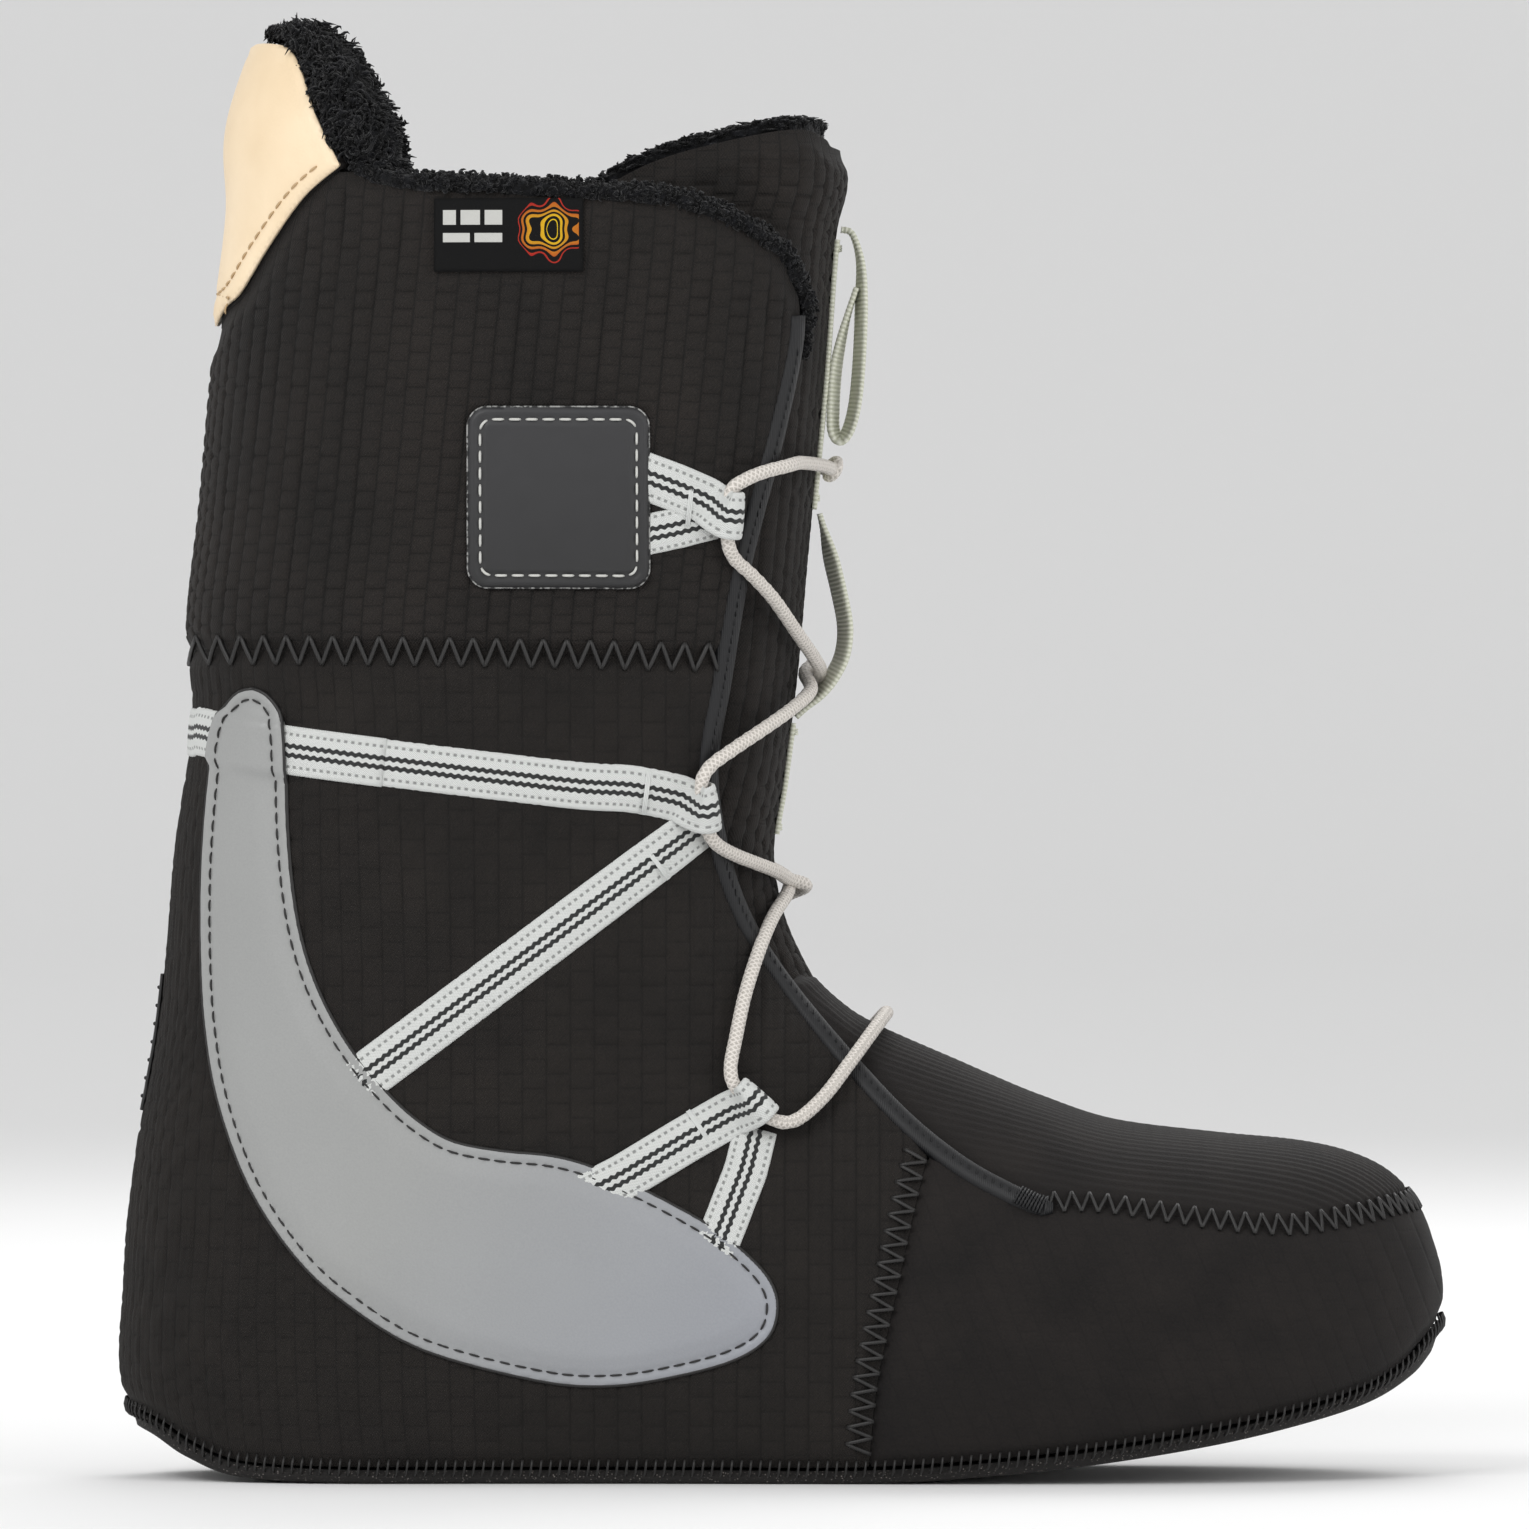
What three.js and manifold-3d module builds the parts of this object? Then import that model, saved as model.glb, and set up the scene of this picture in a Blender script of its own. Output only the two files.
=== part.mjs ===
// Inner boot (liner) of a snowboard boot, for the right foot. Millimetres, +X to the toe,
// -Y to the outer side of the foot, +Z up. The origin is on the flat of the sole, mid length.
import * as THREE from 'three';
import { mergeVertices } from 'three/addons/utils/BufferGeometryUtils.js';
import Module from 'manifold-3d';

const wasm = await Module();
wasm.setup();

// Overall sizes. The pattern is drawn at one size and graded to these.
const bootLength = 291;
const bootHeight = 321;
const bootWidth = 106;
const pattern = { length: 291, height: 321, width: 106 };

// Layers, counted outwards from the face of the fabric.
const gap = 0.3;
const foam = 6;
const pile = 2.5;
const boardThickness = 3;
const footbedThickness = 5;
const footbedClearance = 1;
const vampThickness = 4;
const counterThickness = 1.5;
const padThickness = 2.5;
const seamGap = 0.4;

// Tongue: a channel round the shin that stands between the two flaps.
const tongueHalfTop = 31.5;
const tongueHalfFoot = 16;
const tongueNose = 19;
const tonguePileRise = 3.2;
const noseRoundness = 0.85;
const slotGap = 0.6;
const hingeAt = [14, 104];

// Webbing, lace and tape.
const webWidth = 10.5;
const webThickness = 1.2;
const laceDiameter = 3.3;
const laceSteps = 80;
const tunnelBore = 5.4;
const tunnelLength = 8;
const tapeWidth = 9;
const tapeThickness = 1.2;
const knotSize = [2.2, 3, 2.6];

// Patches and trim.
const patchThickness = 2.2;
const squareSide = 39;
const squareCorner = 4;
const labelSize = [32.5, 16];
const labelThickness = 0.6;
const leatherThickness = 1.4;
const bindingWidth = 2;
const trimHeight = 4.2;
const pileProud = 1.5;
const trimProud = 0.5;
const backstay = { low: 81, high: 111, width: 12, thickness: 1.6 };

// Fineness of the faceted surfaces.
const ringSides = 30;
const reach = 80;

function graded([x, z]) {
  return [x * bootLength / pattern.length, z * bootHeight / pattern.height];
}

// ---- the last: rings that fan from level at the collar to upright at the toes ----

// Each ring: rear or sole point, front or instep point, half width, lean to the inner side,
// and how square it is at its rear and at its front.
const drawnRings = [
  [[-121, 334], [14, 334], 50, 0, 2.2, 3.3],
  [[-121.5, 300], [12.5, 300], 50.5, 0, 2.2, 3.3],
  [[-122, 278], [11, 276], 51, 0, 2.2, 3.3],
  [[-125.6, 249], [9, 246], 51, 0, 2.2, 3.3],
  [[-128.8, 214], [5.4, 212], 50, 0, 2.2, 3.3],
  [[-131.6, 188], [2.8, 188], 48, 0, 2.2, 2.9],
  [[-130.4, 166], [0.6, 163], 45.5, 0, 2.2, 2.8],
  [[-134.2, 140], [-2.8, 137], 43.5, 0, 2.2, 2.6],
  [[-137.8, 101], [0.8, 119], 42, 0, 2.2, 2.4],
  [[-143.2, 70], [7, 110], 42, 0, 2.3, 2.3],
  [[-145.6, 44], [14, 103.6], 42.5, 0, 2.4, 2.3],
  [[-144.8, 16], [20, 100], 43, 0, 2.6, 2.2],
  [[-126, -16], [26, 97.2], 43.5, 0, 2.8, 2.2],
  [[-85, -18], [31.5, 94.8], 44, 1, 2.8, 2.2],
  [[-45, -18], [38, 92], 45, 2, 2.8, 2.2],
  [[-5, -17], [46, 88.5], 48, 3, 2.8, 2.2],
  [[32, -14], [57, 84], 51, 4, 2.8, 2.2],
  [[66, -10], [73, 78.8], 53, 5, 2.8, 2.2],
  [[94, -5], [96, 75.8], 50.5, 6, 2.8, 2.3],
  [[113, 1], [114, 74], 45, 7, 2.7, 2.3],
  [[126, 7.5], [126, 71.2], 37.5, 8, 2.6, 2.3],
  [[135, 14.5], [134.5, 66.8], 29, 8.5, 2.4, 2.2],
  [[141, 22], [140.6, 59.6], 20, 9, 2.2, 2.1],
  [[144.4, 29.5], [144.3, 50], 11, 9.5, 2, 2],
];

const rings = drawnRings.map(([rear, front, half, lean, rearPower, frontPower]) => ({
  rear: new THREE.Vector2(...graded(rear)),
  front: new THREE.Vector2(...graded(front)),
  half: half * bootWidth / pattern.width,
  lean,
  rearPower,
  frontPower,
}));

// The point at an angle round a ring, moved out of the surface by some millimetres.
function ringPoint(ring, angle, out) {
  const axis = ring.front.clone().sub(ring.rear);
  const middle = ring.rear.clone().add(ring.front).multiplyScalar(0.5);
  const reachAlong = axis.length() / 2 + out;
  axis.normalize();
  const c = Math.cos(angle);
  const s = Math.sin(angle);
  const power = 2 / (c > 0 ? ring.frontPower : ring.rearPower);
  const along = Math.sign(c) * Math.abs(c) ** power * reachAlong;
  const across = Math.sign(s) * Math.abs(s) ** power * (ring.half + out);
  return new THREE.Vector3(
    middle.x + axis.x * along, ring.lean + across, middle.y + axis.y * along);
}

// ---- solids ----

function solidOf(geometry) {
  const bare = geometry.index ? geometry.toNonIndexed() : geometry.clone();
  for (const name of Object.keys(bare.attributes)) {
    if (name !== 'position') bare.deleteAttribute(name);
  }
  const merged = mergeVertices(bare, 1e-4);
  return new wasm.Manifold(new wasm.Mesh({
    numProp: 3,
    vertProperties: new Float32Array(merged.attributes.position.array),
    triVerts: new Uint32Array(merged.index.array),
  }));
}

function geometryOf(solid) {
  const mesh = solid.getMesh();
  const geometry = new THREE.BufferGeometry();
  geometry.setAttribute('position', new THREE.BufferAttribute(mesh.vertProperties, 3));
  geometry.setIndex(new THREE.BufferAttribute(mesh.triVerts, 1));
  geometry.computeVertexNormals();
  return geometry;
}

// The triangles of a flat loop, turned the way that the loop runs.
function capFaces(loop) {
  const outline = flatten(loop);
  const turn = Math.sign(THREE.ShapeUtils.area(outline));
  return THREE.ShapeUtils.triangulateShape(outline, []).map((face) => {
    const same = Math.sign(THREE.ShapeUtils.area(face.map((at) => outline[at]))) === turn;
    return same ? face : [face[2], face[1], face[0]];
  });
}

// A closed skin over a list of loops, with a flat cap at each end.
function skinned(loops) {
  const count = loops[0].length;
  const last = (loops.length - 1) * count;
  const faces = [];
  for (let level = 0; level + 1 < loops.length; level += 1) {
    for (let side = 0; side < count; side += 1) {
      const a = level * count + side;
      const b = level * count + (side + 1) % count;
      faces.push([a, b, b + count], [a, b + count, a + count]);
    }
  }
  for (const [x, y, z] of capFaces(loops[0])) faces.push([z, y, x]);
  for (const face of capFaces(loops.at(-1))) faces.push(face.map((at) => last + at));
  const position = loops.flat().flatMap((point) => [point.x, point.y, point.z]);
  const wound = (list) => {
    const geometry = new THREE.BufferGeometry();
    geometry.setAttribute('position', new THREE.Float32BufferAttribute(position, 3));
    geometry.setIndex(list.flat());
    return solidOf(geometry);
  };
  const solid = wound(faces);
  return solid.volume() > 0 ? solid : wound(faces.map(([x, y, z]) => [z, y, x]));
}

// A loop of points in one plane through the Y direction, as a flat outline.
function flatten(loop) {
  const start = loop[0];
  const far = loop.reduce((best, point) =>
    (Math.hypot(point.x - start.x, point.z - start.z) >
      Math.hypot(best.x - start.x, best.z - start.z) ? point : best));
  const along = new THREE.Vector3(far.x - start.x, 0, far.z - start.z).normalize();
  return loop.map((point) => new THREE.Vector2(point.clone().sub(start).dot(along), point.y));
}

// The last as one solid, its face moved out by some millimetres; the toe end stops short inside.
function lastSolid(out) {
  const inside = out < -1;
  const used = inside ? rings.slice(0, -2) : rings;
  return skinned(used.map((ring) => Array.from({ length: ringSides }, (_, side) =>
    ringPoint(ring, 2 * Math.PI * (side + 0.5) / ringSides, out))));
}

const lasts = new Map();

function last(out) {
  if (!lasts.has(out)) lasts.set(out, lastSolid(out));
  return lasts.get(out);
}

function layer(outer, inner) {
  return last(outer).subtract(last(inner));
}

// A side-view outline, cut right across the boot, or from one Y to another.
function slab(points, from = -reach, to = reach) {
  const shape = new THREE.Shape(points.map(([x, z]) => new THREE.Vector2(x, z)));
  return slabOf(shape, from, to);
}

function slabOf(shape, from = -reach, to = reach, curveSegments = 6) {
  const geometry = new THREE.ExtrudeGeometry(
    shape, { depth: to - from, bevelEnabled: false, curveSegments });
  geometry.rotateX(Math.PI / 2);
  geometry.translate(0, to, 0);
  return solidOf(geometry);
}

const outerSide = [-reach, 0];
const innerSide = [0, reach];

// ---- outlines seen from the side ----

function smooth(points, pieces) {
  const curve = new THREE.SplineCurve(points.map((point) => new THREE.Vector2(...graded(point))));
  return curve.getSpacedPoints(pieces).map((point) => [point.x, point.y]);
}

// A curve moved sideways in its own plane, to the left of the way it runs.
function beside(curve, distance) {
  return curve.map((point, at) => {
    const before = curve[Math.max(at - 1, 0)];
    const after = curve[Math.min(at + 1, curve.length - 1)];
    const dx = after[0] - before[0];
    const dz = after[1] - before[1];
    const size = Math.hypot(dx, dz);
    return [point[0] - dz / size * distance, point[1] + dx / size * distance];
  });
}

function ribbon(curve, left, right) {
  return [...beside(curve, left), ...beside(curve, right).reverse()];
}

const soleCurve = smooth([[-150, 14], [-139.6, 10.3], [-131.2, 5.3], [-118.7, 1.1], [-91.6, 0]], 8)
  .concat(smooth([[19, 0], [47.4, 1.9], [69.4, 4.4], [93, 8.2], [111.9, 12.3], [128.4, 17],
    [138.3, 22.4], [143.1, 27.1], [152, 36]], 12));
const frontEdge = smooth([[2.3, 262.2], [3.9, 257.4], [3.2, 246.8], [-1.2, 227], [-7.9, 201.3],
  [-12.4, 175.6], [-15.4, 153.8], [-10.1, 129.1], [1.1, 110], [22.6, 84.5], [39.3, 70.4],
  [56.2, 61.6]], 30);
const collarEdge = smooth([[-96.5, 287.8], [-84.2, 283.6], [-58.2, 282], [-39.7, 280.7],
  [-25, 279.8], [-14.4, 276.3], [-6.1, 272.1], [-0.3, 267.7], [2.3, 262.2]], 12);
const tabEdge = smooth([[-127, 250], [-122.9, 257.2], [-118.9, 260.7], [-112.5, 270.6],
  [-104.6, 281.2], [-96.5, 287.8]], 8);
const tabTop = smooth([[-96.5, 287.8], [-102, 299], [-106.6, 312], [-112, 315.4], [-126, 316.2]], 8);
const humpTop = smooth([[-84.2, 284.6], [-86.8, 297], [-90.8, 305.6], [-96, 313.5],
  [-102.6, 319.4], [-107.9, 320.8], [-116.5, 319.4], [-126, 319]], 10);
const ankleSeam = smooth([[-150, 182.6], [-60, 181.6], [20, 180]], 6);
const forefootSeam = smooth([[36, 90], [31.3, 72.4], [27.8, 58.3], [24.3, 42.2], [21.7, 30.4],
  [19.5, 17.6], [17.4, -10]], 8);
const toeSeam = smooth([[56.2, 61.6], [66.8, 61.6], [76.5, 60.4], [87.7, 58.7], [98.9, 57.2],
  [110.7, 56.5], [119.6, 57.6], [128.4, 59], [134.3, 60.4], [150, 64]], 10);

// Side-view places beyond every piece, for outlines that only cut on one edge.
const [ahead, above] = graded([190, 400]);
const [behind, below] = [-ahead, -60];
const rearEnd = graded([-60, 0])[0];

const aboveSole = beside(soleCurve, boardThickness + gap);
const uppers = slab([...aboveSole, [ahead, above], [behind, above]]);

// The slot that the tongue stands in, narrow at the instep and level up the leg.
const slotFoot = hingeAt[1] - 12;
const slotShoulder = 180;

function tongueHalf(z) {
  const share = THREE.MathUtils.clamp((z - hingeAt[1]) / (slotShoulder - hingeAt[1]), 0, 1);
  return THREE.MathUtils.lerp(tongueHalfFoot, tongueHalfTop, Math.sin(share * Math.PI / 2));
}

function tongueSlot() {
  const heights = [slotFoot, 104, 115, 127, 140, 155, slotShoulder, 360];
  const side = heights.map((z) => new THREE.Vector2(tongueHalf(z) + slotGap, z));
  const shape = new THREE.Shape([...side, ...side.map(({ x, y }) => new THREE.Vector2(-x, y))
    .reverse()]);
  const geometry = new THREE.ExtrudeGeometry(shape, { depth: 90, bevelEnabled: false });
  geometry.rotateX(Math.PI / 2);
  geometry.rotateZ(Math.PI / 2);
  geometry.translate(-50, 0, 0);
  return solidOf(geometry);
}

const slot = tongueSlot();
const tongueRoom = slot.intersect(slab([[-60, 400], [-60, 200], [-42, 165], [-37, 134],
  [-29, 112], [-14.4, 97.4], [5.7, 112.8], [20, 124], [60, 150], [60, 400]]
  .map((point) => graded(point))));

const seams = [ankleSeam, forefootSeam, toeSeam, frontEdge, collarEdge, tabEdge]
  .map((curve) => slab(ribbon(curve, seamGap / 2, -seamGap / 2)));
const backSeam = slab([[behind, below], [rearEnd, below], [rearEnd, above], [behind, above]],
  -seamGap / 2, seamGap / 2);

const flapOutline = [...collarEdge, ...frontEdge.slice(1)];

function shell() {
  let body = layer(0, -foam).intersect(uppers).subtract(tongueRoom);
  for (const cut of seams) body = body.subtract(cut);
  return body;
}

const shellBody = shell();

// Behind and under the front edge: both quarters and cuffs, and the heel tab above them.
const lowerRegion = slab([...flapOutline, ...toeSeam.slice(1), [ahead, below], [behind, below],
  [behind, tabEdge[0][1] - foam], ...tabEdge.slice(0, -1)]);
const aheadOfSeam = slab([...forefootSeam, [ahead, below], [ahead, above], graded([40, 120])]);
const rearRegion = lowerRegion.subtract(aheadOfSeam);
const cuffRegion = slab([[behind, ankleSeam[0][1]], ...ankleSeam, [ahead, above], [behind, above]]);
const quarterRegion = slab([[behind, ankleSeam[0][1]], ...ankleSeam, [ahead, below], [behind, below]]);
const tabRegion = slab([...tabEdge, ...tabTop.slice(1), [behind, tabTop.at(-1)[1]],
  [behind, tabEdge[0][1] - foam]]);
const vampRegion = slab([...frontEdge.slice(18), ...toeSeam.slice(1),
  graded([160, 130]), graded([10, 130])]);
const toeRegion = lowerRegion.intersect(aheadOfSeam);

function onSide(solid, side) {
  return solid.intersect(slab([[behind, below], [ahead, below], [ahead, above], [behind, above]],
    side[0] + (side[0] === 0 ? seamGap / 2 : 0), side[1] - (side[1] === 0 ? seamGap / 2 : 0)));
}

function largest(solid) {
  return solid.decompose().sort((a, b) => b.volume() - a.volume())[0];
}

// ---- stiff parts held inside the foam ----

const counterOutline = smooth([[-150, 13], [-96, 12], [-84, 24], [-92, 46], [-112, 72],
  [-150, 84]], 12);
const padOutline = smooth([[-92, 112], [-70, 106], [-54, 88], [-44, 96], [-58, 122], [-78, 134],
  [-94, 126], [-92, 112]], 14).slice(0, -1);

function counter() {
  return layer(-foam + counterThickness, -foam).intersect(slab(counterOutline))
    .intersect(uppers);
}

function counterPocket() {
  return layer(-foam + counterThickness + gap, -foam - gap)
    .intersect(slab(grown(counterOutline, 2 * gap)));
}

// A closed outline grown all round.
function grown(outline, distance) {
  const turn = Math.sign(THREE.ShapeUtils.area(outline.map(([x, y]) => ({ x, y }))));
  const count = outline.length;
  return outline.map((point, at) => {
    const before = outline[(at + count - 1) % count];
    const after = outline[(at + 1) % count];
    const dx = after[0] - before[0];
    const dz = after[1] - before[1];
    const move = turn * distance / Math.hypot(dx, dz);
    return [point[0] + dz * move, point[1] - dx * move];
  });
}

function ankleFoam(side) {
  return layer(-foam + padThickness, -foam).intersect(slab(padOutline, ...side));
}

function ankleFoamPocket() {
  return layer(-foam + padThickness + gap, -foam - gap).intersect(slab(grown(padOutline, 2 * gap)));
}

// ---- tongue ----

// Each level: front point, the way back into the boot, and how far its wings go back.
const drawnTongue = [
  [[13.2, 306], [-1, 0], 60],
  [[13.4, 286], [-1, 0], 56],
  [[10.7, 273], [-1, 0], 54],
  [[8.3, 242], [-1, 0], 50],
  [[4.7, 204], [-1, 0], 44],
  [[2.4, 178], [-1, 0], 38],
  [[-0.6, 154], [-1, 0], 34],
  [[-2.9, 138], [-1, -0.1], 30],
  [[-0.6, 124], [-1, -0.35], 27],
  [[5, 113.4], [-1, -0.8], 24],
];

function tongueLoop([front, way, wings], inset, thickness) {
  const [fx, fz] = graded(front);
  const back = new THREE.Vector2(...way).normalize();
  const steps = 12;
  const channel = (inward) => {
    const place = (along, share) => {
      const z = fz + back.y * along;
      return new THREE.Vector3(fx + back.x * along, share * (tongueHalf(z) - inward), z);
    };
    const nose = Array.from({ length: steps + 1 }, (_, step) => {
      const angle = Math.PI * (step / steps - 0.5);
      const depth = (tongueNose - inward) * Math.cos(angle) ** noseRoundness;
      return place(tongueNose - depth, Math.sin(angle));
    });
    return [place(wings, -1), ...nose, place(wings, 1)];
  };
  return [...channel(inset), ...channel(inset + thickness).reverse()];
}

const tongueTop = smooth([[30, 292], [12.9, 292.8], [10.2, 294.6], [4.5, 296.4], [-8.7, 294.6],
  [-27.6, 289.6], [-42, 282], [-60, 270]], 10);
const pileTop = beside(tongueTop, -tonguePileRise);

function tongueChannel(levels, inset, thickness, top) {
  const body = skinned(levels.map((level) => tongueLoop(level, inset, thickness)));
  return body.intersect(slab([...top, [-60, 60], [60, 60]]));
}

// ---- webbing ----

// The outer surface at a side-view place, and the way it faces.
function surfaceAt([x, z], side) {
  const solid = last(0);
  const probe = (px, pz) => {
    const half = gap;
    const needle = slab([[px - half, pz - half], [px + half, pz - half],
      [px + half, pz + half], [px - half, pz + half]]);
    const box = solid.intersect(needle).boundingBox();
    return side < 0 ? box.min[1] : box.max[1];
  };
  const y = probe(x, z);
  const dx = probe(x + 2, z) - probe(x - 2, z);
  const dz = probe(x, z + 2) - probe(x, z - 2);
  const face = new THREE.Vector3(-dx / 4, 1, -dz / 4).multiplyScalar(side).normalize();
  return { point: new THREE.Vector3(x, y, z), face };
}

const tunnelOuter = tunnelBore / 2 + webThickness;

// The folded end of a webbing loop: a short tube that the lace runs through.
function tunnel(from, to, side) {
  const [a, b] = [graded(from), graded(to)];
  const middle = surfaceAt([(a[0] + b[0]) / 2, (a[1] + b[1]) / 2], side);
  const start = surfaceAt(a, side).point;
  const end = surfaceAt(b, side).point;
  const along = end.sub(start).normalize();
  const up = middle.face.clone().addScaledVector(along, -middle.face.dot(along)).normalize();
  const across = new THREE.Vector3().crossVectors(up, along);
  const centre = middle.point.clone().addScaledVector(up, gap + tunnelOuter);
  const shape = new THREE.Shape().absarc(0, 0, tunnelOuter, 0, 2 * Math.PI);
  shape.holes.push(new THREE.Path().absarc(0, 0, tunnelBore / 2, 0, 2 * Math.PI, true));
  const geometry = new THREE.ExtrudeGeometry(
    shape, { depth: tunnelLength, bevelEnabled: false, curveSegments: 8 });
  geometry.translate(0, 0, -tunnelLength / 2);
  geometry.applyMatrix4(new THREE.Matrix4().makeBasis(across, up, along).setPosition(centre));
  return solidOf(geometry);
}

function strip(from, to, width = webWidth) {
  return ribbon([graded(from), graded(to)], width / 2, -width / 2);
}

const webLayer = () => layer(gap + webThickness, gap);
const ankleOutline = smooth([[-115.9, 173.8], [-109.7, 167.9], [-108.4, 144.5], [-104.6, 116.2],
  [-93.8, 93.9], [-79.2, 78.8], [-61.6, 72.8], [-44, 70], [-24.8, 61.2], [-8, 49.9], [-1.6, 38.7],
  [-10.7, 27.5], [-38, 21.8], [-53.5, 22.9], [-79.1, 29.7], [-106.8, 49.9], [-123.7, 83.6],
  [-127.5, 131.8], [-124.9, 161.5], [-115.9, 173.8]], 40).slice(0, -1);
const squareCentre = graded([-49.3, 215.4]);

const loopEnds = {
  cuff: [[-13.2, 217.2], [-14, 206.6]],
  heel: [[-20.2, 153.4], [-18.6, 143]],
  forefoot: [[-12, 86], [-3.6, 78.6]],
};
const heelLine = smooth([[-150, 167.4], [-130.8, 165], [-108.6, 160.4], [-49.4, 153.1],
  [-32.7, 151.8], [-19, 148.4]], 14);

function cuffLoop(side, room) {
  const legs = slab(strip([-29.4, 220.4], [-13.2, 213]), ...room)
    .add(slab(strip([-29.4, 209.2], [-13.2, 211.4]), ...room));
  return webLayer().intersect(legs).subtract(squareCut(squareSide + 2 * gap, room))
    .add(tunnel(...loopEnds.cuff, side));
}

function heelStrap() {
  const web = webLayer().intersect(slab(ribbon(heelLine, webWidth / 2, -webWidth / 2)));
  return web.add(tunnel(...loopEnds.heel, -1)).add(tunnel(...loopEnds.heel, 1));
}

function instepStrap(room) {
  return webLayer().intersect(slab(strip([-96, 85.6], [-24, 139.8]), ...room))
    .subtract(slab(grown(ankleOutline, 2 * gap)))
    .subtract(slab(ribbon(heelLine, webWidth / 2 + 2 * gap, -webWidth / 2 - 2 * gap)));
}

function forefootLoop(side, room) {
  const legs = slab(strip([-42, 63.4], [-8.4, 83.4]), ...room)
    .add(slab(strip([-16, 48], [-7, 81.4]), ...room));
  return webLayer().intersect(legs).subtract(slab(grown(ankleOutline, 2 * gap)))
    .add(tunnel(...loopEnds.forefoot, side));
}

// ---- patches ----

function roundedSquare(side, corner) {
  const half = side / 2;
  const shape = new THREE.Shape();
  shape.absarc(half - corner, half - corner, corner, 0, Math.PI / 2);
  shape.absarc(corner - half, half - corner, corner, Math.PI / 2, Math.PI);
  shape.absarc(corner - half, corner - half, corner, Math.PI, 1.5 * Math.PI);
  shape.absarc(half - corner, corner - half, corner, 1.5 * Math.PI, 2 * Math.PI);
  return shape;
}

function anklePatch(room) {
  const under = layer(gap + webThickness + gap, -gap)
    .intersect(slab(ribbon(heelLine, webWidth / 2 + 2 * gap, -webWidth / 2 - 2 * gap)));
  return layer(gap + patchThickness, gap).intersect(slab(ankleOutline, ...room)).subtract(under);
}

function squareCut(side, room) {
  return slabOf(roundedSquare(side, squareCorner), ...room, 3)
    .translate([squareCentre[0], 0, squareCentre[1]]);
}

function squarePatch(room) {
  return layer(gap + patchThickness, gap).intersect(squareCut(squareSide, room));
}

function label() {
  const [x, z] = graded([-60, 272.4]);
  const [w, h] = labelSize.map((size) => size / 2);
  return layer(gap + labelThickness, gap).intersect(
    slab([[x - w, z - h], [x + w, z - h], [x + w, z + h], [x - w, z + h]], ...outerSide));
}

// ---- cords and tape ----

function tube(points, radius, steps, sides = 8) {
  const shape = new THREE.Shape(Array.from({ length: sides }, (_, side) => {
    const angle = 2 * Math.PI * side / sides;
    return new THREE.Vector2(radius * Math.cos(angle), radius * Math.sin(angle));
  }));
  const curve = new THREE.CatmullRomCurve3(points.map((point) => new THREE.Vector3(...point)));
  return new THREE.ExtrudeGeometry(shape, { steps, bevelEnabled: false, extrudePath: curve });
}

// A flat tape seen from its edge: a side-view centre line with a thickness, across the middle.
function tape(line) {
  return slab(ribbon(line, tapeThickness / 2, -tapeThickness / 2), -tapeWidth / 2, tapeWidth / 2);
}

const laceRoute = [
  [10, -3.3, 222.5], [9.4, -9, 222.8], [7, -18.6, 223.2], [4.6, -26.4, 223.3],
  [3, -33, 223.2], [0.6, -39.4, 222.4], [-4.4, -44.6, 221], [-8.6, -47.4, 219.2],
  [-11.6, -48.5, 216.8], [-12, -48, 211.5], [-12.4, -47.5, 206.2],
  [-11, -44.8, 202.2], [-7, -39.8, 198.4], [-2.4, -33, 193.4], [2.4, -23, 186.6],
  [6.6, -11, 180.6], [7.9, 0, 177.5],
  [5.8, 11, 173.6], [1.8, 21, 169.6], [-4, 30, 165.4], [-11.4, 37.4, 160.4],
  [-16.4, 40.6, 156.6], [-18.2, 41, 152.7], [-17.4, 39.6, 147.6], [-16.6, 38.2, 142.5],
  [-14.6, 35.4, 139.6], [-10.8, 30, 137.4], [-6.4, 23, 135.6], [-2, 14, 133.8], [0.8, 5, 132],
  [1.1, 0, 130.4], [0.2, -8, 128], [-2.6, -17, 123.6], [-5.6, -26, 116.4], [-8.6, -32.4, 107],
  [-10.6, -36.2, 97.8], [-11.8, -38.6, 91], [-10.8, -39, 87], [-6.8, -38.9, 83.4],
  [-2.8, -38.8, 79.8], [2.2, -37.4, 79.4], [8.4, -33.4, 84.4], [14.4, -26.6, 92],
  [19.4, -18, 98.6], [22, -8, 101.8], [22.6, 0, 102.4],
];
const mirrored = laceRoute.slice(0, -1).reverse().map(([x, y, z]) => [x, -y, z]);
// The second strand passes under the first where they cross in front of the tongue.
const crossings = [[177.5, 4.45], [130.4, 4.7]];

function laceSolid() {
  const second = mirrored.map(([x, y, z]) => {
    const crossing = crossings.find(([height]) => height === z);
    return crossing ? [crossing[1], y, z] : [x, y, z];
  });
  return solidOf(tube([...laceRoute, ...second], laceDiameter / 2, laceSteps));
}

function knotSolid() {
  const geometry = new THREE.SphereGeometry(1, 10, 8);
  geometry.scale(...knotSize);
  geometry.translate(laceRoute[0][0] + gap, 0, laceRoute[0][2]);
  return solidOf(geometry);
}

// Lies on the front of the tongue, between two heights.
function sewnLine(low, high) {
  const front = drawnTongue.map(([point]) => point);
  const curve = smooth(front, 60).filter(([, z]) => z > low && z < high);
  return curve.map(([x, z]) => [x + gap + tapeThickness / 2, z]);
}

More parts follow.
